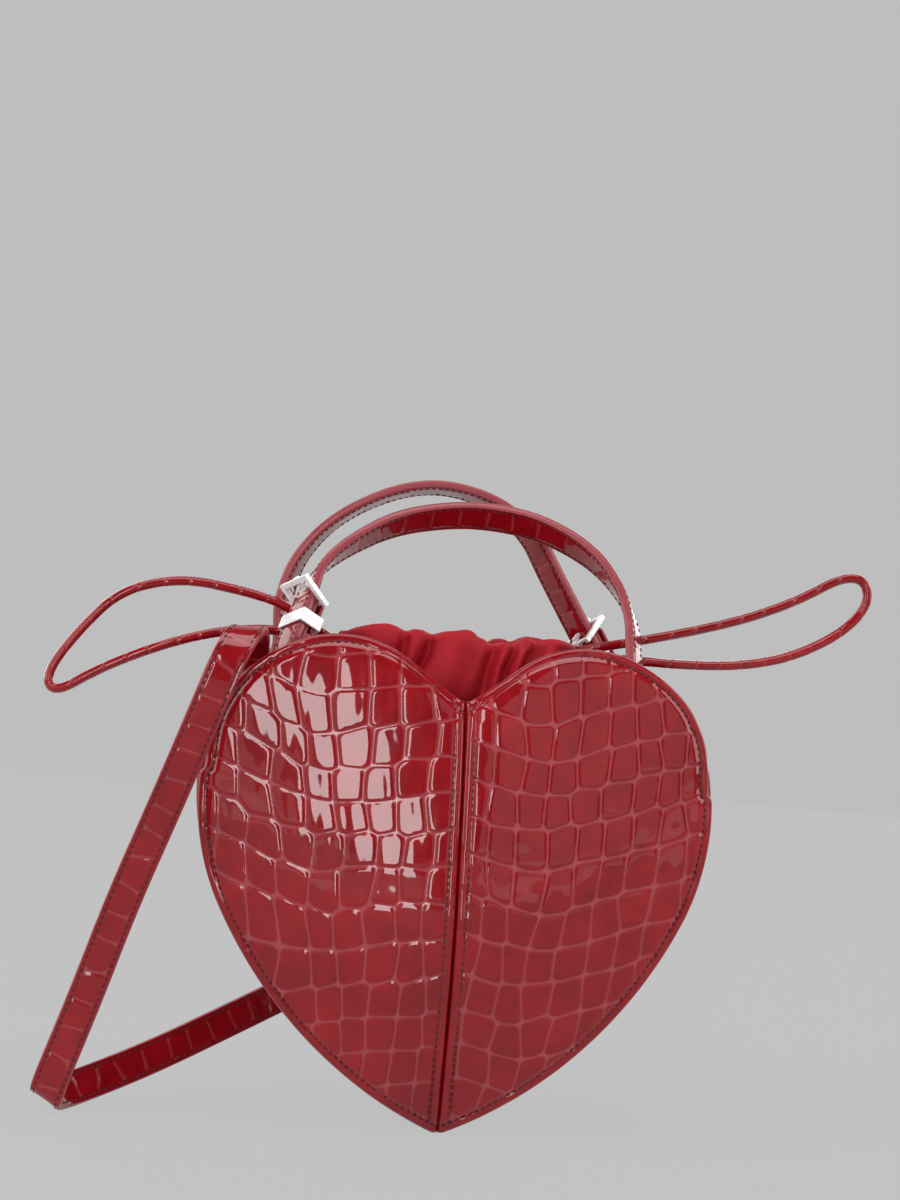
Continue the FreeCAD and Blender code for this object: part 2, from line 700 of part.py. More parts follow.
# Each row is a share of the span, a share of the height and the width direction before the lean.
front_arch_shares = [
    (0, 0, (0.545, -0.839, 0)),
    (0.0755, 0.526, (0.545, -0.839, 0)),
    (0.169, 0.719, (0.32, -0.947, 0)),
    (0.302, 0.912, (0.12, -0.993, 0)),
    (0.478, 1, (0, -1, 0)),
    (0.734, 0.947, (-0.05, -0.999, 0)),
    (0.881, 0.763, (-0.16, -0.987, 0)),
    (0.971, 0.509, (-0.30, -0.954, 0)),
    (1, 0.246, (-0.45, -0.893, 0)),
    (1, 0, (-0.45, -0.893, 0)),
]
rear_arch_shares = [
    (0, 0, (-0.45, -0.893, 0)),
    (-0.008, 0.243, (-0.40, -0.917, 0)),
    (0.038, 0.529, (-0.28, -0.96, 0)),
    (0.169, 0.8, (-0.12, -0.993, 0)),
    (0.41, 1, (0, -1, 0)),
    (0.613, 0.95, (0.2, -0.98, 0)),
    (0.774, 0.721, (0.545, -0.839, 0)),
    (1.0386, -0.1233, (0.545, -0.839, 0)),
]
front = Handle("front", size("front_buckle_x"), size("front_leg_x"), front_arch_shares)
rear = Handle("rear", size("rear_leg_x"), size("rear_buckle_x"), rear_arch_shares)
handles = {"front": front, "rear": rear}
buckle_legs = {"front": front.first, "rear": rear.last}
strap_w = size("strap_width")
skin = size("strap_ply")
seam = size("strap_seam") / 2


def slotted(leg, shape):
    """The strap with the prong's slot cut through it."""
    pin_out = size("tab_off") + size("tab_ply") + size("tab_bore") / 2
    tilt = math.radians(size("frame_tilt"))
    above = size("frame_thick") / 2 + size("pin_fit") + size("prong_thick") / 2
    slot_up = size("pin_height") + pin_out * math.tan(tilt) + above / math.cos(tilt)
    through = size("strap_ply") * 4
    wide = size("prong_width") + 2 * size("prong_gap")
    tall = size("prong_slot")
    slot = Part.makeBox(wide, tall, through, V(-wide / 2, -tall / 2, -through / 2))
    slot.Placement = leg.placed(0, slot_up, 0).multiply(slot.Placement)
    return shape.cut(slot)


# The handles, each with a leather face outside and a leather lining inside.
for name, handle in handles.items():
    marks = stations(handle.route(buckle_legs[name]), handle.widths)
    plies = {"outer": (seam, skin + seam), "lining": (-skin - seam, -seam)}
    for layer, (inside, outside) in plies.items():
        strap = ply(marks, strap_w, inside, outside)
        strap = strap.fuse(round_end(marks[0], strap_w, inside, outside))
        strap = strap.fuse(round_end(marks[-1], strap_w, inside, outside)).removeSplitter()
        strap = slotted(buckle_legs[name], strap)
        node(f"{name}_handle_{layer}", plain(f"strap_{name}_{layer}", strap))


# The buckles: tab, pin, frame, prong and keeper, each placed in the axes of its own handle.
def cylinder(name, radius_rule, height_rule, placement):
    made = doc.addObject("Part::Cylinder", name)
    made.setExpression("Radius", radius_rule)
    made.setExpression("Height", height_rule)
    made.Placement = placement
    return made


def box(name, rules, placement):
    made = doc.addObject("Part::Box", name)
    for side, rule in zip(("Length", "Width", "Height"), rules):
        made.setExpression(side, rule)
    made.Placement = placement
    return made


def shifted(placement, x, y, z):
    return placement.multiply(FreeCAD.Placement(V(x, y, z), FreeCAD.Rotation()))


ACROSS = FreeCAD.Rotation(V(0, 1, 0), 90)
for name, leg in buckle_legs.items():
    pin_out = -(size("tab_off") + size("tab_ply") + size("tab_bore") / 2)
    pin_up = size("pin_height")
    tab_w = size("tab_width")
    fold = size("tab_bore") / 2 + size("tab_ply")
    at_pin = leg.placed(0, pin_up, pin_out)
    tilt = FreeCAD.Rotation(V(1, 0, 0), 90 - size("frame_tilt"))
    # The tab is a strip folded over the pin, with both its tails going down.
    fold_rule = "sizes.tab_bore / 2 + sizes.tab_ply"
    half_tab = FreeCAD.Placement(V(-tab_w / 2, 0, 0), ACROSS)
    fold_out = cylinder(f"{name}_fold_out", fold_rule, "sizes.tab_width", at_pin.multiply(half_tab))
    fold_in = cylinder(f"{name}_fold_in", "sizes.tab_bore / 2", "sizes.tab_width", at_pin.multiply(half_tab))
    tails_rules = ("sizes.tab_width", "sizes.pin_height", "sizes.tab_bore + 2 * sizes.tab_ply")
    tails = box(f"{name}_tails", tails_rules, shifted(at_pin, -tab_w / 2, -pin_up, -fold))
    gap_rules = ("sizes.tab_width", "sizes.pin_height", "sizes.tab_bore")
    gap = box(f"{name}_gap", gap_rules, shifted(at_pin, -tab_w / 2, -pin_up, -size("tab_bore") / 2))
    solid = both("Fuse", f"{name}_tab_solid", fold_out, tails)
    hole = both("Fuse", f"{name}_tab_hole", fold_in, gap)
    strip = both("Cut", f"{name}_tab_strip", solid, hole)
    ends_rule = ("sizes.tab_bore + 2 * sizes.tab_ply", "sizes.tab_width / 2")
    foot = shifted(leg.placed(0, 0, pin_out), 0, 0, -fold)
    foot_disc = cylinder(f"{name}_tab_foot", ends_rule[1], ends_rule[0], foot)
    foot_gap = box(
        f"{name}_foot_gap",
        ("sizes.tab_width", "sizes.tab_width", "sizes.tab_bore"),
        shifted(leg.placed(0, 0, pin_out), -tab_w / 2, -tab_w / 2, -size("tab_bore") / 2),
    )
    foot_pair = both("Cut", f"{name}_foot_pair", foot_disc, foot_gap)
    tongue = both("Fuse", f"{name}_tab_tongue", strip, foot_pair)
    hub_room = size("prong_width") + 2 * size("prong_gap")
    slot_rules = (
        "sizes.prong_width + 2 * sizes.prong_gap",
        "sizes.tab_bore + 4 * sizes.tab_ply",
        "sizes.tab_bore + 4 * sizes.tab_ply",
    )
    reach = size("tab_bore") + 4 * size("tab_ply")
    slot = box(f"{name}_tab_slot", slot_rules, shifted(at_pin, -hub_room / 2, -reach / 2, -reach / 2))
    node(f"{name}_buckle_tab", both("Cut", f"{name}_tab", tongue, slot))
    # The pin goes through both arms of the frame.
    long = FreeCAD.Placement(V(-size("frame_width") / 2, 0, 0), ACROSS)
    pin = cylinder(f"{name}_pin", "sizes.pin / 2", "sizes.frame_width", at_pin.multiply(long))
    node(f"{name}_buckle_pin", pin)
    # The frame is a flat U whose arms hold the pin.
    frame = doc.addObject("PartDesign::Body", f"{name}_frame")
    outline = body_sketch(frame, f"{name}_frame_outline")
    rectangle(outline, "sizes.frame_width", size("frame_width"), "sizes.frame_length", size("frame_length"))
    inner_w = size("frame_width") - 2 * size("frame_bar")
    inner_l = size("frame_length") - 2 * size("frame_bar")
    inner_rules = ("sizes.frame_width - 2 * sizes.frame_bar", "sizes.frame_length - 2 * sizes.frame_bar")
    rectangle(outline, inner_rules[0], inner_w, inner_rules[1], inner_l)
    pad(frame, outline, f"{name}_frame_pad", "sizes.frame_thick")
    spin = leg.placed(0, pin_up, pin_out, tilt)
    middle_up = size("frame_length") / 2 - size("frame_end")
    frame.Placement = shifted(spin, 0, middle_up, -size("frame_thick") / 2)
    bore = cylinder(
        f"{name}_frame_bore",
        "(sizes.pin + sizes.pin_fit) / 2",
        "sizes.frame_width",
        at_pin.multiply(long),
    )
    clear_rules = ("sizes.frame_width - 2 * sizes.frame_bar", "sizes.frame_bar * 3", "sizes.frame_thick * 3")
    clear_at = shifted(spin, -inner_w / 2, -size("frame_bar") * 2, -size("frame_thick") * 1.5)
    clear = box(f"{name}_frame_clear", clear_rules, clear_at)
    cuts = both("Fuse", f"{name}_frame_cuts", bore, clear)
    node(f"{name}_buckle_frame", both("Cut", f"{name}_frame_cut", frame, cuts))
    # The prong turns on the pin and lies on top of the far bar.
    hub_at = at_pin.multiply(FreeCAD.Placement(V(-size("prong_width") / 2, 0, 0), ACROSS))
    hub = cylinder(f"{name}_hub", "sizes.prong_hub / 2", "sizes.prong_width", hub_at)
    hub_bore = cylinder(f"{name}_hub_bore", "sizes.pin / 2 + sizes.pin_fit", "sizes.prong_width", hub_at)
    tongue_rules = ("sizes.prong_width", "sizes.prong_length", "sizes.prong_thick")
    rest = size("frame_thick") / 2 + size("pin_fit") + size("prong_thick")
    tongue_at = shifted(spin, -size("prong_width") / 2, 0, -rest)
    blade = box(f"{name}_blade", tongue_rules, tongue_at)
    whole = both("Fuse", f"{name}_prong_solid", hub, blade)
    node(f"{name}_buckle_prong", both("Cut", f"{name}_prong", whole, hub_bore))
    # The keeper is a plain square loop round the strap and both tails of the tab.
    keeper = doc.addObject("PartDesign::Body", f"{name}_keeper")
    loop = body_sketch(keeper, f"{name}_keeper_loop")
    deep_rule = (
        "2 * sizes.keeper_fit + sizes.strap_ply + sizes.strap_seam / 2"
        " + sizes.tab_off + sizes.tab_bore + 2 * sizes.tab_ply"
    )
    deep = 2 * size("keeper_fit") + skin + seam
    deep = deep + size("tab_off") + size("tab_bore") + 2 * size("tab_ply")
    wide = strap_w + 2 * size("keeper_fit")
    wall_t = 2 * size("keeper_wall")
    wide_rule = "sizes.strap_width + 2 * sizes.keeper_fit"
    outer_rules = (f"{wide_rule} + 2 * sizes.keeper_wall", f"{deep_rule} + 2 * sizes.keeper_wall")
    rectangle(loop, outer_rules[0], wide + wall_t, outer_rules[1], deep + wall_t)
    rectangle(loop, wide_rule, wide, deep_rule, deep)
    pad(keeper, loop, f"{name}_keeper_pad", "sizes.keeper_height")
    centre_out = skin + seam + size("keeper_fit") - deep / 2
    lay = FreeCAD.Rotation(V(1, 0, 0), -90)
    keeper.Placement = leg.placed(0, size("keeper_base"), centre_out, lay)
    node(f"{name}_buckle_keeper", keeper)
    turn_axis = at_pin.Rotation.multVec(V(-1, 0, 0))
    print(name, "pin at", at_pin.Base, "prong axis", turn_axis, "strap up", leg.up)


def anchor(name, leg, sign, hinge, wide):
    """A sewn strip from just under a handle's hinge to flat on the lining."""
    top = hinge - leg.up * (wide / 2 + size("pivot_gap"))
    knee = top - leg.up * size("anchor_knee")
    half = size("anchor_ply") / 2
    off_face = size("anchor_off") + half
    places = []
    for z in (size("anchor_high"), size("anchor_low")):
        face, slope = inner_face(hinge.x, z, sign)
        places.append(V(hinge.x, face - sign * off_face, z))
    flat = V(1, slope, 0) * math.copysign(1, leg.across.x)
    marks = stations([top, knee] + places, [leg.across, leg.across, flat, flat])
    return plain(name, ply(marks, size("tab_width"), -half, half))


# Each handle turns on the line from the foot of its buckle tab to the foot of its plain leg.
tab_mid = -(size("tab_off") + size("tab_ply") + size("tab_bore") / 2)
tab_w = size("tab_width")
front_tab_foot = front.first.pivot + front.first.outward * tab_mid
rear_tab_foot = rear.last.pivot + rear.last.outward * tab_mid
front_leg_foot = front.last.pivot
rear_leg_foot = rear.first.pivot
node("front_left_anchor", anchor("anchor_fl", front.first, -1, front_tab_foot, tab_w))
node("front_right_anchor", anchor("anchor_fr", front.last, -1, front_leg_foot, strap_w))
node("rear_left_anchor", anchor("anchor_rl", rear.first, 1, rear_leg_foot, strap_w))
node("rear_right_anchor", anchor("anchor_rr", rear.last, 1, rear_tab_foot, tab_w))
print("front hinge from", front_tab_foot, "to", front_leg_foot)
print("rear hinge from", rear_leg_foot, "to", rear_tab_foot)

# The shoulder strap, from inside the left gusset, over the left lobe, behind the bag, to the right gusset.
# Each row is a point and the width direction there.
shoulder_rows = [
    ((-90.8, -4, 112), (0, 1, 0)),
    ((-91.6, -5, 134), (0, 1, 0)),
    ((-87, -14, 160), (-0.75, 0.66, 0)),
    ((-83, -22, 184), (-1, 0.1, 0)),
    ((-85, -36, 193), (-1, 0, 0)),
    ((-92, -50, 183), (-0.98, 0, 0.2)),
    ((-99, -51, 163), (-0.93, 0, 0.37)),
    ((-112.5, -45, 124.5), (-0.93, 0, 0.37)),
    ((-127, -36, 85), (-0.93, 0, 0.37)),
    ((-140.2, -25, 44), (-0.93, 0, 0.37)),
    ((-151.5, -17, 9), (-0.88, 0, 0.47)),
    ((-149.5, -3, 5.8), (-0.757, 0, 0.653)),
    ((-134, 8, 10), (-0.5, 0, 0.865)),
    ((-112, 20, 17), (-0.4, 0, 0.9)),
    ((-88, 34, 26), (-0.36, 0, 0.93)),
    ((-45, 68, 44), (-0.36, 0, 0.93)),
    ((10, 82, 66), (-0.38, 0.05, 0.92)),
    ((60, 72, 90), (-0.36, 0.3, 0.88)),
    ((99, 48, 112), (-0.3, 0.75, 0.6)),
    ((111.5, 25, 129), (-0.2, 0.93, 0.32)),
    ((106.5, 8, 151), (0, 1, 0.1)),
    ((91.6, 4, 153), (0, 1, 0)),
    ((90.8, 4, 112), (0, 1, 0)),
]
shoulder_points = [V(*row[0]) for row in shoulder_rows]
shoulder_widths = [V(*row[1]) for row in shoulder_rows]
shoulder_marks = stations(shoulder_points, shoulder_widths)
node("shoulder_strap_outer", plain("strap_long_outer", ply(shoulder_marks, strap_w, seam, skin + seam)))
node("shoulder_strap_lining", plain("strap_long_lining", ply(shoulder_marks, strap_w, -skin - seam, -seam)))

doc.recompute()

# Every object is whole before anything is written.
for made in doc.Objects:
    if "Invalid" in made.State or "Error" in made.State:
        raise RuntimeError(f"{made.Name} is {made.State}")
os.makedirs("parts", exist_ok=True)
for name, made in NODES.items():
    shape = made.Shape
    if shape.isNull() or not shape.isValid():
        raise RuntimeError(f"{name} has no valid shape")
    reach = shape.BoundBox
    spans = [(reach.XMin, reach.XMax), (reach.YMin, reach.YMax), (reach.ZMin, reach.ZMax)]
    spans = ", ".join(f"{low:.1f} to {high:.1f}" for low, high in spans)
    print(f"{name}: {len(shape.Solids)} solid, {shape.Volume:.0f} mm3, {spans}")
    shape.exportStep(f"parts/{name}.step")
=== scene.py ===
"""A heart shaped evening purse in embossed patent leather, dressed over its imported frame.

Sizes are in millimetres unless a name says otherwise, and the meshes are written in metres.
"""

import logging
import math
from dataclasses import dataclass, field
from enum import Enum

import bmesh
import bpy
import numpy as np
from mathutils import Matrix, Vector


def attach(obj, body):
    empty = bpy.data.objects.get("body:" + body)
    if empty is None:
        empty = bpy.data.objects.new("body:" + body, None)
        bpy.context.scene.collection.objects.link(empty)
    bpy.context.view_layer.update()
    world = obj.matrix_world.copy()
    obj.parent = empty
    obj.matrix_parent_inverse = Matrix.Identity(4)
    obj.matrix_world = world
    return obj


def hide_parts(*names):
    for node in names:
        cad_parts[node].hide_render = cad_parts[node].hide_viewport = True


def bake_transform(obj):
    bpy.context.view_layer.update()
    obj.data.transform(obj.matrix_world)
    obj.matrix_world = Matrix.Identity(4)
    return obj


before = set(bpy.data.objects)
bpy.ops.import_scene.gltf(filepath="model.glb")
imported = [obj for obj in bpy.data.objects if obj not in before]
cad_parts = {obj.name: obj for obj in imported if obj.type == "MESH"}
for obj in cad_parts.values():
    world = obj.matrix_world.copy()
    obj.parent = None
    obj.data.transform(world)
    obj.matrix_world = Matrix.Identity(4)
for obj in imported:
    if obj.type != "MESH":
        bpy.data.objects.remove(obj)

LOG = logging.getLogger("purse")
MM = 0.001
MIX_COLOURS = (6, 7)
MIX_RESULT = 2
Array = np.ndarray
Colour = tuple[float, float, float]


class Face(Enum):
    """The heart face that a panel belongs to, and its sign along Y."""

    FRONT = -1
    BACK = 1


class Side(Enum):
    """The half of the purse, and its sign along X."""

    LEFT = -1
    RIGHT = 1


def ease(low: float, high: float, value: Array) -> Array:
    """Rise smoothly from 0 at low to 1 at high: three t squared less two t cubed.

    Args:
        low: Value at which the rise starts.
        high: Value at which it ends.
        value: Values to ease.

    Returns:
        The eased values, from 0 to 1.
    """
    t = np.clip((value - low) / (high - low), 0.0, 1.0)
    return t * t * (3.0 - 2.0 * t)


def unit(rows: Array) -> Array:
    """Divide each row by its own length."""
    return rows / np.maximum(np.linalg.norm(rows, axis=-1, keepdims=True), 1e-12)


def ripple(u: Array, v: Array, length: float, seed: int, waves: int = 7) -> Array:
    """A soft random swell: a sum of plane waves with seeded headings and phases.

    Args:
        u: First coordinate.
        v: Second coordinate.
        length: Middle wavelength.
        seed: Seed of the headings and phases.
        waves: Number of waves in the sum.

    Returns:
        Values of about -1 to 1.
    """
    pick = np.random.default_rng(seed)
    total = np.zeros(np.broadcast(u, v).shape)
    for heading, phase, stretch in pick.random((waves, 3)):
        pace = math.tau / (length * (0.6 + 0.8 * stretch))
        turn = math.pi * heading
        total += np.sin(pace * (u * math.cos(turn) + v * math.sin(turn)) + math.tau * phase)
    return total / math.sqrt(waves * 2.0)


def strides(line: Array) -> Array:
    """The length from each point of a line to the next."""
    return np.linalg.norm(np.diff(line, axis=0), axis=1)


def travel(line: Array) -> Array:
    """The length gone at each point of a line, from 0 at its start."""
    return np.concatenate([[0.0], np.cumsum(strides(line))])


def read_at(marks: Array, gone: Array, rows: Array) -> Array:
    """Rows that belong to places along a line, read at other places.

    Args:
        marks: Lengths gone at which to read.
        gone: Length gone at each row.
        rows: The rows.

    Returns:
        A row for each mark, straight between its neighbours.
    """
    return np.stack([np.interp(marks, gone, rows[:, k]) for k in range(rows.shape[1])], axis=1)


def evenly(line: Array, count: int) -> Array:
    """Points at equal steps along a line of close points.

    Args:
        line: The close points.
        count: Number of points wanted.

    Returns:
        The equally spaced points.
    """
    gone = travel(line)
    return read_at(np.linspace(0.0, gone[-1], count), gone, line)


def outward_of(line: Array) -> Array:
    """The outward directions of the right half's outline, square to its run from notch to tip."""
    run = unit(np.gradient(line, axis=0))
    return np.stack([-run[:, 1], run[:, 0]], axis=1)


def capped(points: Array, line: Array) -> Array:
    """A grid carried along a line, with a row at each end that shrinks to the line's end point."""
    ends = [np.broadcast_to(line[k], (1, points.shape[1], 3)) for k in (0, -1)]
    return np.concatenate([ends[0], points, ends[1]], axis=0)


@dataclass
class Shell:
    """A mesh in the making.

    Attributes:
        points: Places of the vertices, one row each.
        faces: Four corner numbers for each face.
        finish: Place of each face's finish in the piece's list.
        dip: How deep each vertex lies in a groove, from 0 to 1.
        lay: Place of each vertex along and across its own surface.
    """

    points: Array
    faces: Array
    finish: Array
    dip: Array
    lay: Array

    @classmethod
    def grid(
        cls,
        points: Array,
        finish: int | Array = 0,
        dip: Array | None = None,
        lay: Array | None = None,
        loop: bool = False,
    ) -> "Shell":
        """Cover a grid of points with faces, one for each cell's four corners.

        Args:
            points: Grid of points, rows by columns by three.
            finish: Finish of all cells, or one for each column of cells.
            dip: Groove depth of each point.
            lay: Place of each point along and across the surface.
            loop: Whether the last column joins the first.

        Returns:
            The covered grid.
        """
        rows, cols = points.shape[:2]
        index = np.arange(rows * cols).reshape(rows, cols)
        if loop:
            index = np.concatenate([index, index[:, :1]], axis=1)
        corners = [index[:-1, :-1], index[:-1, 1:], index[1:, 1:], index[1:, :-1]]
        faces = np.stack(corners, axis=-1)
        finishes = np.broadcast_to(np.asarray(finish), faces.shape[:2])
        dip = np.zeros((rows, cols)) if dip is None else dip
        lay = points[..., [0, 2]] if lay is None else lay
        return cls(
            points.reshape(-1, 3).astype(float),
            faces.reshape(-1, 4),
            finishes.reshape(-1).astype(int),
            np.asarray(dip, float).reshape(-1),
            np.asarray(lay, float).reshape(-1, 2),
        )

    @classmethod
    def joined(cls, shells: list["Shell"]) -> "Shell":
        """Put several shells into one mesh, each with its own vertices."""
        starts = np.cumsum([0] + [len(s.points) for s in shells])
        return cls(
            np.concatenate([s.points for s in shells]),
            np.concatenate([s.faces + start for s, start in zip(shells, starts)]),
            np.concatenate([s.finish for s in shells]),
            np.concatenate([s.dip for s in shells]),
            np.concatenate([s.lay for s in shells]),
        )

    def middles(self) -> tuple[Array, Array]:
        """The middles of the faces and their area vectors, half the product of the diagonals."""
        corner = self.points[self.faces]
        area = 0.5 * np.cross(corner[:, 2] - corner[:, 0], corner[:, 3] - corner[:, 1])
        return corner.mean(axis=1), area

    def facing(self, direction: tuple[float, float, float]) -> "Shell":
        """Turn the faces so that, taken together, they look along a direction."""
        if (self.middles()[1] @ np.asarray(direction, float)).sum() < 0:
            self.faces = self.faces[:, ::-1].copy()
        return self

    def outward(self) -> "Shell":
        """Turn a closed shell's faces outwards, by the sign of the volume they enclose."""
        middle, area = self.middles()
        if ((middle - self.points.mean(axis=0)) * area).sum() < 0:
            self.faces = self.faces[:, ::-1].copy()
        return self

    def area(self) -> float:
        """The whole area, in square millimetres."""
        return float(np.linalg.norm(self.middles()[1], axis=1).sum())


class Bench:
    """A material's node tree, with short ways to add and join its nodes."""

    def __init__(self, name: str) -> None:
        """Start a material with a principled shader."""
        self.material = bpy.data.materials.new(name)
        self.material.use_nodes = True
        self.tree = self.material.node_tree
        self.shader = self.tree.nodes["Principled BSDF"]

    def put(self, value: object, socket: bpy.types.NodeSocket) -> None:
        """Feed a socket from another one, or set it to a plain value."""
        if isinstance(value, bpy.types.NodeSocket):
            self.tree.links.new(value, socket)
        else:
            socket.default_value = value

    def node(self, kind: str, **values: object) -> bpy.types.Node:
        """Add a node and feed the sockets named by their words joined with underscores."""
        made = self.tree.nodes.new(kind)
        for name, value in values.items():
            self.put(value, made.inputs[name.replace("_", " ")])
        return made

    def number(self, way: str, *values: object) -> bpy.types.NodeSocket:
        """A math node of up to three sockets or numbers.

        Args:
            way: Blender's name of the operation.
            values: Sockets or numbers, in the order of the node's inputs.

        Returns:
            The result's socket.
        """
        made = self.tree.nodes.new("ShaderNodeMath")
        made.operation = way
        for socket, value in zip(made.inputs, values):
            self.put(value, socket)
        return made.outputs[0]

    def blend(self, share: bpy.types.NodeSocket, low: object, high: object) -> bpy.types.NodeSocket:
        """A colour between two, by a share from 0 to 1.

        Args:
            share: Socket of the share.
            low: Colour or socket at 0.
            high: Colour or socket at 1.

        Returns:
            The colour's socket.
        """
        made = self.tree.nodes.new("ShaderNodeMix")
        made.data_type = "RGBA"
        self.put(share, made.inputs["Factor"])
        for place, value in zip(MIX_COLOURS, (low, high)):
            ready = value if isinstance(value, bpy.types.NodeSocket) else (*value, 1.0)
            self.put(ready, made.inputs[place])
        return made.outputs[MIX_RESULT]

    def noise(self, where: bpy.types.NodeSocket, scale: float, detail: float = 3.0) -> bpy.types.NodeSocket:
        """A noise value at a place, with so many waves to the metre."""
        made = self.node("ShaderNodeTexNoise", Scale=scale, Detail=detail, Vector=where)
        return made.outputs["Fac"]

    def place(self, output: str = "Object") -> bpy.types.NodeSocket:
        """The object's own coordinates, or its UV map."""
        return self.tree.nodes.new("ShaderNodeTexCoord").outputs[output]

    def carried(self, name: str) -> bpy.types.NodeSocket:
        """A value that the mesh carries on its vertices."""
        made = self.tree.nodes.new("ShaderNodeAttribute")
        made.attribute_name = name
        return made.outputs["Fac"]

    def bump(self, height: bpy.types.NodeSocket, strength: float, distance: float) -> None:
        """Let a height tilt the shader's normal, over a distance in metres."""
        made = self.node("ShaderNodeBump", Strength=strength, Distance=distance, Height=height)
        self.settings(Normal=made.outputs["Normal"])

    def settings(self, **values: object) -> None:
        """Feed the shader's own sockets, named by their words joined with underscores."""
        for name, value in values.items():
            self.put(value, self.shader.inputs[name.replace("_", " ")])


@dataclass(frozen=True)
class PatentLeather:
    """Red leather under a thick clear varnish, with a painted highlight that makes its embossed grooves
    paler.

    Attributes:
        name: Name of the material.
        body: Colour of the tiles.
        deep: Darker tone that the colour drifts to.
        groove: Paler colour in the grooves, a painted highlight of the light they catch.
        groove_highlight_share: Share of that painted groove highlight where the groove is deepest.
        satin: Roughness under the varnish.
        groove_satin: Further roughness in the grooves.
        varnish: Roughness of the varnish.
    """

    name: str = "patent_leather"
    body: Colour = (0.385, 0.0040, 0.0110)
    deep: Colour = (0.225, 0.0010, 0.0045)
    groove: Colour = (0.47, 0.09, 0.108)
    groove_highlight_share: float = 0.65
    satin: float = 0.24
    groove_satin: float = 0.22
    varnish: float = 0.03

    def material(self) -> bpy.types.Material:
        """Colour drifts with two noises and is painted paler in the grooves as a highlight, where fine
        specks also bump the surface.
        """
        bench = Bench(self.name)
        where = bench.place()
        dip = bench.carried("dip")
        drift = bench.number("ADD", bench.noise(where, 42.0), bench.noise(where, 150.0, 4.0))
        drift = bench.number("MULTIPLY_ADD", drift, 1.2, -0.7)
        # Painted highlight: the grooves are painted paler by the square of their depth.
        pale = bench.number("MULTIPLY", bench.number("MULTIPLY", dip, dip), self.groove_highlight_share)
        speck = bench.noise(where, 1500.0, 2.0)
        wave = bench.noise(where, 330.0, 2.0)
        height = bench.number("ADD", wave, bench.number("MULTIPLY", speck, dip))
        bench.bump(height, 0.13, 0.00012)
        bench.settings(
            Base_Color=bench.blend(pale, bench.blend(drift, self.deep, self.body), self.groove),
            Roughness=bench.number("MULTIPLY_ADD", dip, self.groove_satin, self.satin),
            Specular_IOR_Level=0.06,
            Coat_Weight=1.0,
            Coat_Roughness=self.varnish,
            Coat_IOR=1.5,
        )
        return bench.material


@dataclass(frozen=True)
class EdgePaint:
    """The satin paint that closes the cut leather edges."""

    name: str = "edge_paint"
    body: Colour = (0.31, 0.030, 0.042)
    worn: Colour = (0.38, 0.062, 0.076)

    def material(self) -> bpy.types.Material:
        """Two close tones drift along the edge, and a fine grain dulls it."""
        bench = Bench(self.name)
        where = bench.place()
        tone = bench.blend(bench.noise(where, 160.0), self.body, self.worn)
        bench.bump(bench.noise(where, 1400.0), 0.16, 0.00015)
        bench.settings(Base_Color=tone, Roughness=0.36, Coat_Weight=0.15, Coat_Roughness=0.2)
        return bench.material


@dataclass(frozen=True)
class Weave:
    """A woven cloth: warp and weft threads as crossed waves along the piece's own UV map.

    Attributes:
        name: Name of the material.
        light: Colour of the raised threads, painted lighter as if lit.
        gap_shade: Colour between them, painted shade where the threads part.
        threads: Threads to the metre.
        roughness: Roughness of the threads.
        sheen: Strength of the soft shine at a low angle.
    """

    name: str
    light: Colour
    gap_shade: Colour
    threads: float
    roughness: float
    sheen: float

    def material(self) -> bpy.types.Material:
        """Height is the product of two thread waves, one along each way of the cloth; the colour follows it
        with painted shade between threads, plus a random drift.
        """
        bench = Bench(self.name)
        cut = bench.node("ShaderNodeSeparateXYZ", Vector=bench.place("UV"))
        pace = self.threads * math.pi
        ways = [bench.number("SINE", bench.number("MULTIPLY", cut.outputs[k], pace)) for k in (0, 1)]
        over = bench.number("MULTIPLY", *ways)
        drift = bench.noise(bench.place(), 120.0)
        # Painted light and shade: the colour is lighter on the raised threads and darker between them, with
        # a random drift.
        shade = bench.number("MULTIPLY_ADD", over, 0.22, drift)
        bench.bump(over, 0.22, 0.00012)
        bench.settings(
            Base_Color=bench.blend(shade, self.gap_shade, self.light),
            Roughness=self.roughness,
            Specular_IOR_Level=0.2,
            Sheen_Weight=self.sheen,
            Sheen_Roughness=0.4,
            Sheen_Tint=(*self.light, 1.0),
        )
        return bench.material


@dataclass(frozen=True)
class WhiteMetal:
    """Pale satin plated hardware with faint polishing lines."""

    name: str = "white_metal"
    body: Colour = (0.96, 0.955, 0.95)
    line: Colour = (0.89, 0.885, 0.88)

    def material(self) -> bpy.types.Material:
        """Colour, roughness and bump follow a noise stretched into short lines."""
        bench = Bench(self.name)
        drawn = bench.node("ShaderNodeMapping", Scale=(1.0, 1.0, 9.0), Vector=bench.place())
        lines = bench.noise(drawn.outputs[0], 500.0, 4.0)
        bench.bump(lines, 0.02, 0.00002)
        bench.settings(
            Base_Color=bench.blend(lines, self.line, self.body),
            Roughness=bench.number("MULTIPLY_ADD", lines, 0.12, 0.22),
            Metallic=0.15,
        )
        return bench.material


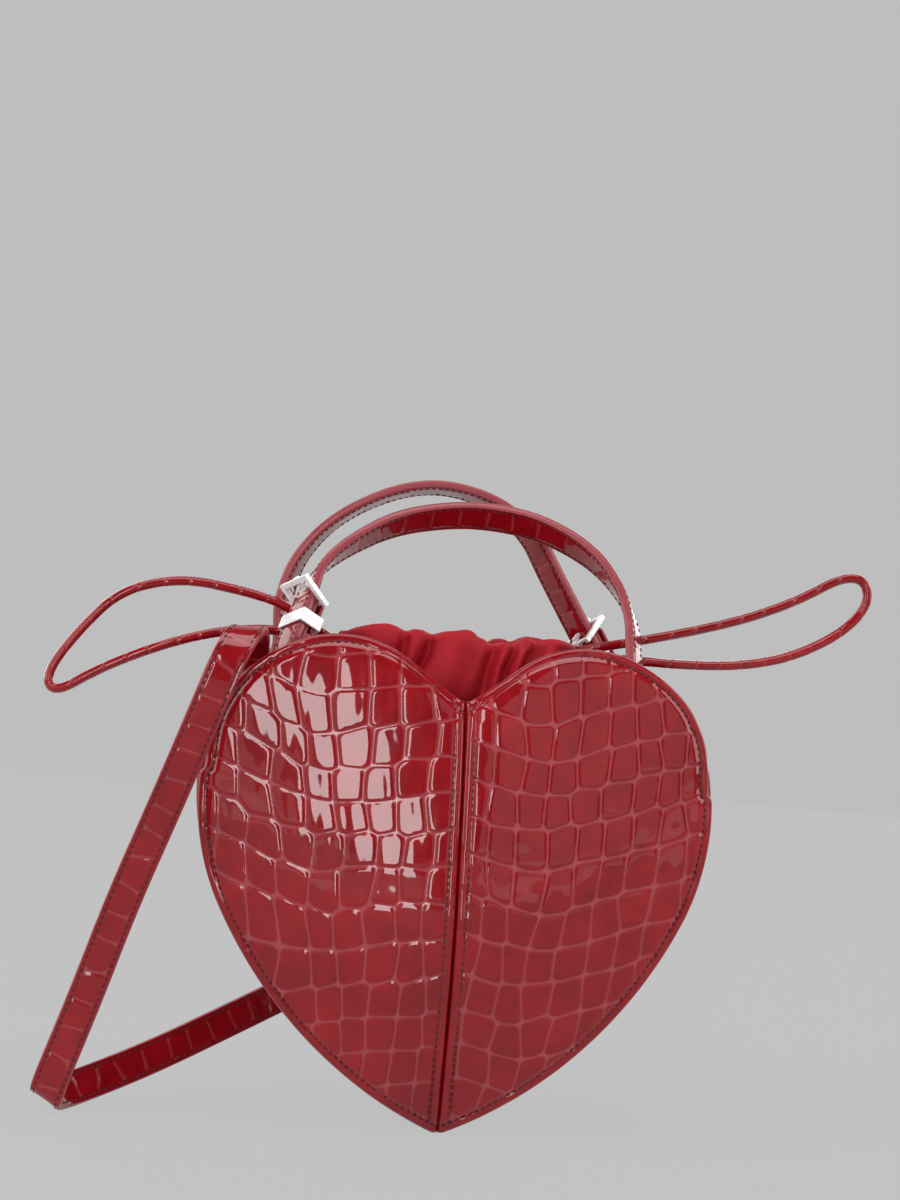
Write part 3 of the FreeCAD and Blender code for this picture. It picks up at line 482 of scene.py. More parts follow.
@dataclass(frozen=True)
class Thread:
    """Waxed sewing thread with a twist, with painted shade between its plies."""

    name: str = "waxed_thread"
    # The darker colour is painted shade in the grooves between the plies, the lighter one the lit ply tops.
    light: Colour = (0.115, 0.008, 0.014)
    gap_shade: Colour = (0.050, 0.003, 0.006)
    twist: float = 9000.0

    def material(self) -> bpy.types.Material:
        """Slanted plies as a sine of the place along and round the thread, which also paints shade between
        them and light on them.
        """
        bench = Bench(self.name)
        cut = bench.node("ShaderNodeSeparateXYZ", Vector=bench.place("UV"))
        slant = bench.number("MULTIPLY_ADD", cut.outputs[0], self.twist, cut.outputs[1])
        ply = bench.number("SINE", slant)
        share = bench.number("MULTIPLY_ADD", ply, 0.5, 0.5)
        bench.bump(ply, 0.3, 0.0001)
        # Painted shade: the colour darkens in the grooves between the plies.
        bench.settings(Base_Color=bench.blend(share, self.gap_shade, self.light), Roughness=0.5)
        return bench.material


class Palette:
    """Every finish's material, made once, and the pair that dresses a strap or a wall."""

    def __init__(self) -> None:
        """Make the materials."""
        self.leather = PatentLeather().material()
        self.paint = EdgePaint().material()
        self.cloth = Weave(
            "pouch_cloth",
            light=(0.50, 0.014, 0.028),
            gap_shade=(0.36, 0.007, 0.015),
            threads=2300.0,
            roughness=0.62,
            sheen=0.03,
        ).material()
        self.lining = Weave(
            "lining_cloth",
            light=(0.34, 0.016, 0.026),
            gap_shade=(0.22, 0.008, 0.014),
            threads=1700.0,
            roughness=0.7,
            sheen=0.15,
        ).material()
        self.metal = WhiteMetal().material()
        self.thread = Thread().material()
        self.hide = [self.leather, self.paint]


def smooth_mesh(name: str, shell: Shell) -> bpy.types.Mesh:
    """Write a shell's points, in metres, and its faces into a smooth shaded mesh."""
    mesh = bpy.data.meshes.new(name)
    mesh.from_pydata((shell.points * MM).tolist(), [], shell.faces.tolist())
    mesh.polygons.foreach_set("use_smooth", np.ones(len(mesh.polygons), bool))
    return mesh


def placed(
    name: str,
    shell: Shell,
    finishes: list[bpy.types.Material],
    body: str | None,
    nodes: tuple[str, ...] = (),
    weld: bool = False,
) -> bpy.types.Object:
    """Write a shell into a mesh object and tie it to the frame.

    Args:
        name: Name of the piece.
        shell: The mesh in millimetres.
        finishes: Materials in the order of the shell's finish numbers.
        body: Body of the frame that the piece rides on, or none for a piece that blends two.
        nodes: Nodes of the frame that the piece stands for.
        weld: Whether vertices in one place become one, to close seams and poles.

    Returns:
        The new object.
    """
    mesh = smooth_mesh(name, shell)
    mesh.polygons.foreach_set("material_index", shell.finish.astype(np.int32))
    # The leather paints its grooves paler by this depth, a painted highlight.
    dip = mesh.attributes.new("dip", "FLOAT", "POINT")
    dip.data.foreach_set("value", shell.dip.astype(np.float32))
    lay = mesh.uv_layers.new(name="lay")
    lay.data.foreach_set("uv", (shell.lay[shell.faces.ravel()] * MM).astype(np.float32).ravel())
    if weld:
        work = bmesh.new()
        work.from_mesh(mesh)
        bmesh.ops.remove_doubles(work, verts=work.verts, dist=2e-6)
        bmesh.ops.dissolve_degenerate(work, edges=work.edges, dist=1e-7)
        work.to_mesh(mesh)
        work.free()
    mesh.update()
    for material in finishes:
        mesh.materials.append(material)
    made = bpy.data.objects.new(name, mesh)
    bpy.context.scene.collection.objects.link(made)
    if body:
        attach(made, body)
    if nodes:
        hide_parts(*nodes)
    LOG.info("%s: %d faces on %s", name, len(mesh.polygons), body)
    return made


@dataclass(frozen=True)
class Scales:
    """The embossed hide: rounded tiles in wavering rows, parted by narrow grooves.

    A tile is the cell of a jittered lattice point. A place's depth in its tile is the soft least
    of its distances to the lines halfway to the neighbouring points.

    Attributes:
        wide: Pitch along a row.
        high: Pitch from row to row.
        stray: How far a lattice point strays, as a share of the pitch.
        slip: How far whole rows slip along themselves, as a share of the pitch.
        sway: How far the rows waver.
        tilt: Lean of single tiles, in radians.
        seed: Seed of the strays, slips and leans.
        press: Depth of the grooves at the tiles' edges.
        dome: Further rise from a tile's edge to its middle.
        soft: Rounding of the tiles' corners.
    """

    wide: float = 10.6
    high: float = 11.6
    stray: float = 0.12
    slip: float = 0.14
    sway: float = 2.4
    tilt: float = 0.012
    seed: int = 1
    press: float = 0.26
    dome: float = 0.035
    soft: float = 0.6

    def relief(self, u: Array, v: Array) -> tuple[Array, Array]:
        """Height below the tile tops, and depth in the grooves.

        Args:
            u: Place along the rows.
            v: Place across the rows.

        Returns:
            Heights from about -0.3 to 0, and groove depths from 0 to 1.
        """
        pick = np.random.default_rng(self.seed)
        cells = 64
        table = pick.random((cells, cells, 4))
        slips = pick.random(cells) - 0.5
        u = u + self.sway * ripple(u, v, 46.0, self.seed + 11, 4)
        v = v + self.sway * ripple(u, v, 58.0, self.seed + 12, 4)
        row0, col0 = np.floor(v / self.high).astype(int), np.floor(u / self.wide).astype(int)

        def point(row: Array, col: Array) -> tuple[Array, Array, Array]:
            """The lattice point of a row and column, and its random numbers."""
            chance = table[row % cells, col % cells]
            shift = 2.0 * self.slip * slips[row % cells]
            along = (col + 0.5 + shift + 2.0 * self.stray * (chance[..., 0] - 0.5)) * self.wide
            up = (row + 0.5 + 2.0 * self.stray * (chance[..., 1] - 0.5)) * self.high
            return along, up, chance

        near = np.full(u.shape, 1e9)
        best_u, best_v = np.zeros(u.shape), np.zeros(u.shape)
        lean_u, lean_v = np.zeros(u.shape), np.zeros(u.shape)
        steps = [(i, j) for i in (-2, -1, 0, 1, 2) for j in (-2, -1, 0, 1, 2)]
        for i, j in steps:
            along, up, chance = point(row0 + i, col0 + j)
            gap = (along - u) ** 2 + (up - v) ** 2
            closer = gap < near
            near = np.where(closer, gap, near)
            best_u, best_v = np.where(closer, along, best_u), np.where(closer, up, best_v)
            lean_u = np.where(closer, chance[..., 2] - 0.5, lean_u)
            lean_v = np.where(closer, chance[..., 3] - 0.5, lean_v)
        total = np.zeros(u.shape)
        for i, j in steps:
            along, up, _ = point(row0 + i, col0 + j)
            du, dv = along - best_u, up - best_v
            apart = np.hypot(du, dv)
            own = apart < 1e-6
            apart = np.where(own, 1.0, apart)
            line = ((best_u + along) / 2 - u) * du / apart + ((best_v + up) / 2 - v) * dv / apart
            total += np.where(own, 0.0, np.exp(-line / self.soft))
        depth = np.maximum(-self.soft * np.log(np.maximum(total, 1e-12)), 0.0)
        groove = np.exp(-((depth / 0.55) ** 2))
        edge = self.press * (1.0 - np.exp(-((depth / 0.75) ** 2)))
        rise = edge + self.dome * (1.0 - np.exp(-depth / 2.0))
        lean = 2.0 * self.tilt * (lean_u * (u - best_u) + lean_v * (v - best_v))
        return rise - (self.press + self.dome) + lean * (1.0 - groove), groove


@dataclass(frozen=True)
class HeartForm:
    """The outline and the swell of the heart faces, as the frame has them.

    Attributes:
        lobe_x: Distance of a lobe's centre from the seam.
        lobe_z: Height of a lobe's centre.
        lobe_radius: Radius of the lobe.
        lobe_turn: Angle at which the lobe passes into the shoulder, in degrees.
        notch_slope: Slope of the line up from the notch, in degrees.
        shoulder_radius: Radius of the shoulder.
        side_radius: Radius of the side.
        side_turn: Angle below level at which the side passes into the lower arc, in degrees.
        lower_radius: Radius of the long lower arc.
        tip_radius: Radius of the tip.
        edge_depth: Depth of a face at the reach.
        edge_reach: Distance from the seam at which the face has that depth.
        ridge_radius: Radius of the ridge's arc.
        ridge_middle: Height of the arc's middle.
        ridge_back: How far the arc's centre lies beyond the purse's middle plane.
    """

    lobe_x: float = 48.7
    lobe_z: float = 146.8
    lobe_radius: float = 44.6
    lobe_turn: float = 42.0
    notch_slope: float = 36.0
    shoulder_radius: float = 73.0
    side_radius: float = 96.0
    side_turn: float = 27.0
    lower_radius: float = 183.7
    tip_radius: float = 8.0
    edge_depth: float = 35.4
    edge_reach: float = 104.0
    ridge_radius: float = 290.0
    ridge_middle: float = 95.0
    ridge_back: float = 238.6

    def outline(self, count: int, inset: float = 0.0) -> Array:
        """The right half from the notch round to the tip, in equal steps.

        A line up the notch is followed by five tangent arcs: lobe, shoulder, side, lower and tip.

        Args:
            count: Number of points.
            inset: How far the line is set in.

        Returns:
            Rows of x and z.
        """

        def heading(degrees: float) -> Array:
            """The direction at an angle."""
            return np.array([math.cos(math.radians(degrees)), math.sin(math.radians(degrees))])

        lobe = np.array([self.lobe_x, self.lobe_z])
        shoulder = lobe + (self.lobe_radius - self.shoulder_radius) * heading(self.lobe_turn)
        side = shoulder + np.array([self.shoulder_radius - self.side_radius, 0.0])
        lower = side + (self.side_radius - self.lower_radius) * heading(-self.side_turn)
        reach = self.lower_radius - self.tip_radius
        tip = np.array([0.0, lower[1] - math.sqrt(reach**2 - lower[0] ** 2)])
        tip_angle = math.degrees(math.atan2(tip[1] - lower[1], tip[0] - lower[0]))
        touch = lobe + (self.lobe_radius - inset) * heading(self.notch_slope + 90.0)
        notch = np.array([0.0, touch[1] - touch[0] * math.tan(math.radians(self.notch_slope))])
        arcs = [
            (lobe, self.lobe_radius, self.notch_slope + 90.0, self.lobe_turn),
            (shoulder, self.shoulder_radius, self.lobe_turn, 0.0),
            (side, self.side_radius, 0.0, -self.side_turn),
            (lower, self.lower_radius, -self.side_turn, tip_angle),
            (tip, self.tip_radius, tip_angle, -90.0),
        ]
        runs = [notch + (touch - notch) * np.linspace(0.0, 1.0, 60, endpoint=False)[:, None]]
        for centre, radius, start, end in arcs:
            turn = np.radians(np.linspace(start, end, 300))
            runs.append(centre + (radius - inset) * np.stack([np.cos(turn), np.sin(turn)], axis=1))
        return evenly(np.concatenate(runs), count)

    def ridge(self, z: Array) -> Array:
        """Depth of the middle ridge: an arc over the heart's height."""
        return np.sqrt(self.ridge_radius**2 - (z - self.ridge_middle) ** 2) - self.ridge_back

    def depth(self, x: Array, z: Array) -> Array:
        """Depth of a face: straight from the ridge's depth at the middle to the edge's at the reach."""
        share = np.abs(x) / self.edge_reach
        return self.ridge(z) * (1.0 - share) + self.edge_depth * share


@dataclass(frozen=True)
class Sewing:
    """Rows of stitches as small sagging thread capsules.

    Attributes:
        length: Length of a stitch.
        wide: Width of the thread.
        pitch: Distance from stitch to stitch.
        proud: How far a stitch's middle stands up.
        sides: Sides of the thread.
    """

    length: float = 2.05
    wide: float = 0.78
    pitch: float = 2.75
    proud: float = 0.20
    sides: int = 6

    def row(self, places: Array, along: Array, normal: Array, sink: float = 0.05) -> Shell:
        """Put a stitch at each place.

        A stitch is an ellipse carried along its length, whose middle stands proud and whose ends dive:
        width goes as the root of one less t squared, and height as one less t squared.

        Args:
            places: Middles of the stitches.
            along: Direction of each stitch.
            normal: Outward direction at each stitch.
            sink: How far the stitch's middle line lies under the surface.

        Returns:
            All stitches in one shell.
        """
        along, normal = unit(along), unit(normal)
        across = np.cross(normal, along)
        t = np.array([-1.0, -0.72, 0.0, 0.72, 1.0])
        each = len(t) * self.sides
        turn = np.linspace(0.0, math.tau, self.sides, endpoint=False)
        girth = np.sqrt(np.maximum(1.0 - t**2, 0.04))[:, None]
        run = np.repeat(t[:, None] * self.length / 2, self.sides, axis=1)
        span = girth * self.wide / 2 * np.cos(turn)
        rise = girth * self.wide / 2 * np.sin(turn) + self.proud * (1.0 - t**2)[:, None] - sink
        local = [part.reshape(1, -1, 1) for part in (run, span, rise)]
        frames = [way[:, None, :] for way in (along, across, normal)]
        points = places[:, None, :] + sum(a * b for a, b in zip(local, frames))
        cell = Shell.grid(np.zeros((len(t), self.sides, 3)), loop=True).faces
        faces = cell[None] + each * np.arange(len(places))[:, None, None]
        lay = np.stack([run, np.broadcast_to(turn * 1000.0, run.shape)], axis=-1).reshape(1, -1, 2)
        total = points.reshape(-1, 3)
        shell = Shell(
            total,
            faces.reshape(-1, 4),
            np.zeros(len(places) * len(cell), int),
            np.zeros(len(total)),
            np.broadcast_to(lay, (len(places), each, 2)).reshape(-1, 2).copy(),
        )
        middle, area = shell.middles()
        home = np.repeat(places, len(cell), axis=0)
        if ((middle - home) * area).sum() < 0:
            shell.faces = shell.faces[:, ::-1].copy()
        return shell


@dataclass
class HeartFaces:
    """The four embossed half panels with their painted edges, sewn seams and cloth backs.

    Attributes:
        form: Outline and swell.
        palette: Finishes.
        flange: Width of the sewn-down border.
        flange_drop: How far the border lies below the swell.
        swell: Fullness of a half between its seam and its border.
        belly: Further fullness low on the face.
        seam_half: Half the gap between the two halves.
        notch_round: Rounding of the notch.
        seam_swell: Fullness of the right half beside the seam.
        seam_roll: Radius of the roll into the seam.
        edge_wide: Width of the painted edge.
        stitch_inset: Distance of the stitches from the outline.
        seam_stitch: Distance of the stitches from the seam.
        step_height: Height at which the gusset ends and the outline steps in.
        step_out: How far the outline stands out below the step.
        set_in: How far the whole outline is set in.
        shoulder_full: Fullness of the outline at the shoulder.
        press: Depth of the valleys that the stitches press.
        lining_depth: Distance of the cloth back behind the frame's face.
        sewing: How the rows of stitches are made.
    """

    form: HeartForm
    palette: Palette
    flange: float = 4.0
    flange_drop: float = 0.85
    swell: float = 2.8
    belly: float = 2.0
    seam_half: float = 0.15
    notch_round: float = 3.0
    seam_swell: float = 0.65
    seam_roll: float = 2.3
    edge_wide: float = 1.8
    stitch_inset: float = 2.9
    seam_stitch: float = 3.9
    step_height: float = 136.2
    step_out: float = 1.3
    set_in: float = 1.0
    shoulder_full: float = 2.9
    press: float = 0.30
    lining_depth: float = 2.9
    sewing: Sewing = field(default_factory=Sewing)

    def border(self, count: int, inset: float = 0.0) -> tuple[Array, Array]:
        """The outline with a step at the gusset's end, a fuller shoulder and a rounded notch.

        Args:
            count: Number of points.
            inset: How far the line is set in.

        Returns:
            Points and outward directions.
        """
        line = self.form.outline(count, inset)
        away = outward_of(line)
        z = line[:, 1]
        low = 1.0 - ease(self.step_height - 0.9, self.step_height + 0.9, z)
        outer = ease(55.0, 75.0, line[:, 0])
        full = self.shoulder_full * ease(138.0, 160.0, z) * (1.0 - ease(166.0, 188.0, z)) * outer
        out = self.step_out * low - self.set_in + full + ease(150.0, 185.0, z)
        line = line + away * out[:, None]
        line[:, 0] = np.maximum(line[:, 0], 0.0)
        slope = math.tan(math.radians(self.form.notch_slope))
        fillet = slope * (np.hypot(line[:, 0], self.notch_round) - line[:, 0])
        line[:, 1] += fillet * ease(150.0, 158.0, z)
        return line, away

    def height(self, x: Array, z: Array, edge: Array, share: Array, long: Array) -> Array:
        """Depth of the dressed face before its emboss.

        The frame's depth, plus a swell that is fuller near the seam and a belly low on the face, less
        the sewn-down flange, the stitch valleys and the quarter-round roll into the seam.

        Args:
            x: Distance from the seam.
            z: Height.
            edge: Distance from the outline.
            share: Place from the seam, 0, to the outline, 1.
            long: Length from seam to outline there.

        Returns:
            Depths along the face's own direction.
        """
        full = np.clip(long / 55.0, 0.0, 1.0)
        swell = self.swell * 2.05 * share**0.62 * np.maximum(1.0 - share, 0.0) ** 1.05 * full
        drop = self.flange_drop * (1.0 - ease(self.flange - 1.4, self.flange + 1.8, edge))
        valley = self.press * np.exp(-(((edge - self.stitch_inset) / 0.62) ** 2))
        pull = self.press * np.exp(-(((x - self.seam_stitch) / 0.75) ** 2))
        lip = 0.45 * np.clip(1.0 - edge / 0.8, 0.0, 1.0) ** 2
        into = np.clip((self.seam_roll - x) / self.seam_roll, 0.0, 1.0)
        roll = self.seam_roll * 0.9 * (1.0 - np.sqrt(np.maximum(1.0 - into**2, 0.0)))
        belly = self.belly * np.exp(-(((z - 68.0) / 38.0) ** 2))
        belly = belly * np.maximum(1.0 - share, 0.0) ** 0.8 * full
        return self.form.depth(x, z) + swell + belly - drop - valley - pull - lip - roll

    def seam_line(self, count: int) -> Array:
        """Heights on the seam for each outline point, closer together by the notch."""
        a = np.linspace(0.0, 1.0, count)
        ends = self.form.outline(count)[[0, -1], 1]
        return ends[0] - (ends[0] - ends[1]) * (0.35 * a + 0.65 * a**2.2)

    def spread(self, rows: int, cols: int, inset: float = 0.0) -> dict[str, Array]:
        """A grid of rays from the seam to the outline.

        Args:
            rows: Points along the outline.
            cols: Points along a ray.
            inset: How far the outline is set in.

        Returns:
            The grid's x, z, edge distance, share and ray length, and the outline with its directions.
        """
        line, away = self.border(rows, inset)
        seam = np.stack([np.full(rows, self.seam_half), self.seam_line(rows)], axis=1)
        ray = line - seam
        share = np.linspace(0.0, 1.0, cols)[None, :]
        long = np.linalg.norm(ray, axis=1)[:, None]
        reach = np.abs((ray * away).sum(axis=1))[:, None]
        return {
            "x": np.maximum(seam[:, :1] + ray[:, :1] * share, self.seam_half),
            "z": seam[:, 1:] + ray[:, 1:] * share,
            "edge": (1.0 - share) * reach,
            "share": np.broadcast_to(share, (rows, cols)),
            "long": np.broadcast_to(long, (rows, cols)),
            "line": line,
            "away": away,
        }

    def panel(self, face: Face, side: Side, rows: int, cols: int) -> None:
        """Build one embossed half panel with its painted edge and its turned seam edge.

        Args:
            face: Front or back.
            side: Left or right half.
            rows: Points along the outline.
            cols: Points from seam to outline.
        """
        net = self.spread(rows, cols)
        x, z, edge = net["x"], net["z"], net["edge"]
        left = side is Side.LEFT
        scales = self.scales(face, side)
        relief, groove = scales.relief(*self.rows_and_columns(x, z, left))
        fade = ease(1.5, 3.6, edge) * ease(1.2, 4.8, x)
        y = self.height(x, z, edge, net["share"], net["long"]) + relief * (0.25 + 0.75 * fade)
        if not left:
            by_seam = ease(1.0, 8.0, x) * (1.0 - ease(8.0, 60.0, x))
            y = y + self.seam_swell * by_seam * ease(80.0, 125.0, z)
        y = y + 0.028 * ripple(x, z, 9.0, scales.seed + 5) + 0.16 * ripple(x, z, 31.0, scales.seed + 6)
        top = np.stack([side.value * x, face.value * y, z], axis=-1)
        rim, away = net["line"], net["away"]
        steps = (
            (0.18, 0.45),
            (0.30, 0.9),
            (0.28, self.edge_wide - 0.6),
            (0.05, self.edge_wide - 0.2),
            (-0.8, self.edge_wide),
            (-7.5, self.edge_wide + 0.05),
        )
        wall = []
        for out, back in steps:
            place = rim + away * out
            place[:, 0] = np.maximum(place[:, 0], self.seam_half)
            deep = y[:, -1] - back
            wall.append(np.stack([side.value * place[:, 0], face.value * deep, place[:, 1]], axis=-1))
        turned = top[:, :1].copy()
        turned[..., 1] -= face.value * 0.8
        points = np.concatenate([turned, top, np.stack(wall, axis=1)], axis=1)
        finish = np.array([0] * cols + [1] * (len(steps) - 1) + [2])
        dip = np.pad(groove * fade, [(0, 0), (1, len(steps))])
        shell = Shell.grid(points, finish, dip).facing((0.0, face.value, 0.0))
        name = f"{face.name.lower()}_{side.name.lower()}_panel"
        finishes = [*self.palette.hide, self.palette.lining]
        placed(f"embossed_{name}", shell, finishes, "bag", (name,), weld=True)

    def scales(self, face: Face, side: Side) -> Scales:
        """The emboss of one half: squarer tiles on the left half, narrower ones on the right."""
        left = side is Side.LEFT
        return Scales(
            wide=12.0 if left else 11.2,
            high=13.9 if left else 14.6,
            stray=0.07 if left else 0.08,
            slip=0.16 if left else 0.10,
            sway=1.5 if left else 1.7,
            seed=40 + 7 * face.value + 3 * side.value,
        )

    @staticmethod
    def rows_and_columns(x: Array, z: Array, left: bool) -> tuple[Array, Array]:
        """Place along the hide's rows and across them.

        Rows sag into a shallow valley, far from the seam on the left half and near it on the right,
        and columns lean a little.

        Args:
            x: Distance from the seam.
            z: Height.
            left: Whether it is the left half.

        Returns:
            Places along the columns' count and the rows' count, in millimetres.
        """
        if left:
            past = x - (49.0 + 9.0 * ease(80.0, 115.0, z))
            outer, inner = 0.43 * ease(48.0, 112.0, z), 0.16
            lean = 0.09 * np.minimum(x / 60.0, 1.0) * (z - 130.0)
        else:
            past = x - 30.0
            outer, inner = 0.28, 0.28
            lean = -0.07 * np.maximum(110.0 - z, 0.0)
        soft = np.sqrt(past**2 + 36.0)
        rise = outer * (soft + past) / 2 + inner * (soft - past) / 2
        return x - lean, z - rise

    def lining(self, face: Face) -> None:
        """Build the cloth back of one face, which also hides its board.

        Args:
            face: Front or back.
        """
        net = self.spread(150, 60, inset=1.0)
        x, z = net["x"], net["z"]
        y = self.form.depth(x, z) - self.lining_depth - 0.1 * (1.0 - ease(0.0, 6.0, net["edge"]))
        y = y + 0.12 * ripple(x, z, 24.0, 71 + face.value)
        half = np.stack([x, face.value * y, z], axis=-1)
        other = half * np.array([-1.0, 1.0, 1.0])
        points = np.concatenate([other[:, ::-1], half], axis=1)
        shell = Shell.grid(points).facing((0.0, -face.value, 0.0))
        name = face.name.lower()
        nodes = (f"{name}_lining", f"{name}_board")
        placed(f"{name}_cloth_back", shell, [self.palette.lining], "bag", nodes, weld=True)

    def stitches(self, face: Face) -> None:
        """Sew along the outline and down both sides of the seam of one face.

        Args:
            face: Front or back.
        """
        rows = []
        line, _ = self.border(1200, self.stitch_inset)
        count = int(strides(line).sum() / self.sewing.pitch)
        line = evenly(line[8:-8], count)
        high, low = self.form.outline(10)[[0, -1], 1]
        seam_z = np.arange(low + 5.0, high - 6.0, self.sewing.pitch)
        seam = np.stack([np.full(len(seam_z), self.seam_stitch), seam_z], axis=1)
        long = 80.0
        tracks = (
            (line, self.stitch_inset, np.full(len(line), 0.97), 0.0),
            (seam, 30.0, seam[:, 0] / long, 0.15),
        )
        for side in Side:
            for track, edge, share, sunk in tracks:
                x, z = track[:, 0], track[:, 1]
                across = (np.full(len(x), edge), share, np.full(len(x), long))
                y = self.height(x, z, *across) - sunk
                place = np.stack([side.value * x, face.value * y, z], axis=-1)
                run = np.gradient(place, axis=0)
                normal = np.tile([0.0, float(face.value), 0.0], (len(place), 1))
                rows.append(self.sewing.row(place, run, normal, sink=-0.02))
        name = f"{face.name.lower()}_face_stitches"
        placed(name, Shell.joined(rows), [self.palette.thread], "bag")

    def build(self) -> None:
        """Build both faces."""
        for face in Face:
            rows, cols = (440, 182) if face is Face.FRONT else (330, 140)
            for side in Side:
                self.panel(face, side, rows, cols)
            self.lining(face)
            self.stitches(face)


@dataclass
class Gussets:
    """The embossed side walls that join the two faces, and their cloth linings.

    Attributes:
        form: Outline and swell of the faces.
        palette: Finishes.
        inset: How far a wall stands inside the outline.
        thick: Thickness of a wall.
        top: Height at which the walls end.
        tuck: How far a wall ends short of the faces.
        sag: How far a wall's middle sags inwards.
        fold: Folded top edge, as pairs of distance inwards and rise.
    """

    form: HeartForm
    palette: Palette
    inset: float = 4.0
    thick: float = 2.5
    top: float = 135.8
    tuck: float = 2.9
    sag: float = 1.6
    fold: tuple[tuple[float, float], ...] = (
        (0.4, 0.35),
        (1.25, 0.55),
        (2.1, 0.35),
        (2.5, -0.3),
        (2.5, -9.0),
    )

    def wall(self, inset: float, rows: int, cols: int) -> tuple[Array, Array, Array, Array]:
        """A wall from the tip up to its top, across from face to face.

        Args:
            inset: How far the wall stands inside the outline.
            rows: Points up the wall.
            cols: Points across it.

        Returns:
            Points, outward directions in the x and z plane, length up the wall, and place across.
        """
        line = self.form.outline(3000, inset)[::-1]
        line = line[line[:, 1] <= self.top]
        line = line[: int(np.argmax(line[:, 1])) + 1]
        line = evenly(line, rows)
        away = -outward_of(line)
        half = self.form.depth(line[:, 0], line[:, 1]) - self.tuck
        share = np.linspace(-1.0, 1.0, cols)[None, :]
        y = half[:, None] * share
        push = -self.sag * np.cos(share * math.pi / 2) * np.ones_like(y)
        x = line[:, :1] + away[:, :1] * push
        z = line[:, 1:] + away[:, 1:] * push
        up = np.broadcast_to(travel(line)[:, None], y.shape)
        return np.stack([x, y, z], axis=-1), away, up, y

    def build(self) -> None:
        """Build each side's wall, with a folded top edge, and its lining."""
        for side in Side:
            turn = np.array([side.value, 1.0, 1.0])
            points, away, up, y = self.wall(self.inset, 250, 100)
            relief, groove = Scales(seed=90 + side.value, stray=0.15).relief(y, up)
            fade = ease(0.0, 5.0, 32.0 - np.abs(y))
            out = np.stack([away[:, 0], np.zeros(len(away)), away[:, 1]], axis=-1)[:, None, :]
            points = points + out * (relief * (0.3 + 0.7 * fade))[..., None]
            crown = []
            for inward, rise in self.fold:
                crown.append(points[-1] - out[-1] * inward + np.array([0.0, 0.0, rise]))
            grown = np.concatenate([points, np.stack(crown)], axis=0)
            pad = [(0, len(crown)), (0, 0)]
            lay = np.stack([np.pad(up, pad, "edge"), np.pad(y, pad, "edge")], axis=-1)
            shell = Shell.grid(grown * turn, 0, np.pad(groove * fade, pad), lay)
            shell = shell.facing((side.value, 0.0, 0.0))
            finish = shell.finish.reshape(len(grown) - 1, -1)
            finish[-len(crown) : -1] = 1
            shell.finish = finish.reshape(-1)
            name = f"{side.name.lower()}_gusset"
            placed(f"embossed_{name}", shell, self.palette.hide, "bag", (name,))
            inner, _, up, y = self.wall(self.inset + self.thick + 0.15, 110, 40)
            lay = np.stack([up, y], axis=-1)
            shell = Shell.grid(inner * turn, 0, None, lay).facing((-side.value, 0.0, 0.0))
            placed(f"{name}_cloth", shell, [self.palette.lining], "bag", (f"{name}_lining",))


def nurbs(route: list[Array], steps: int = 16) -> list[Array]:
    """Points of order three splines with the given control points, read from Blender's own curves.

    Args:
        route: Lists of control points in millimetres, all of one length, one list a spline.
        steps: Points read for each control point.

    Returns:
        The read points of each spline.
    """
    read = []
    for points in route:
        curve = bpy.data.curves.new("route", "CURVE")
        curve.dimensions = "3D"
        spline = curve.splines.new("NURBS")
        spline.points.add(len(points) - 1)
        flat = np.concatenate([np.asarray(points, float) * MM, np.ones((len(points), 1))], axis=1)
        spline.points.foreach_set("co", flat.ravel())
        spline.order_u = 3
        spline.use_endpoint_u = True
        spline.resolution_u = steps
        holder = bpy.data.objects.new("route", curve)
        bpy.context.scene.collection.objects.link(holder)
        bpy.context.view_layer.update()
        mesh = bpy.data.meshes.new_from_object(holder)
        place = np.zeros(len(mesh.vertices) * 3)
        mesh.vertices.foreach_get("co", place)
        read.append(place.reshape(-1, 3) / MM)
        bpy.data.objects.remove(holder)
        bpy.data.curves.remove(curve)
        bpy.data.meshes.remove(mesh)
    return read


def read_ribbon(points: Array, widths: Array, step: float) -> tuple[Array, Array]:
    """A ribbon's middle line and width directions at equal steps.

    The middle and a second line ten millimetres out along the widths are read from two splines of the
    same kind, so each pair of points belongs together.

    Args:
        points: Control points.
        widths: Width direction at each control point.
        step: Length of a step.

    Returns:
        Middle points and width directions.
    """
    middle, beside = nurbs([points, points + 10.0 * unit(widths)])
    gone = travel(middle)
    marks = np.linspace(0.0, gone[-1], int(gone[-1] / step) + 1)
    middle, beside = read_at(marks, gone, middle), read_at(marks, gone, beside)
    run = unit(np.gradient(middle, axis=0))
    across = beside - middle
    across = unit(across - run * (across * run).sum(axis=1, keepdims=True))
    return middle, across


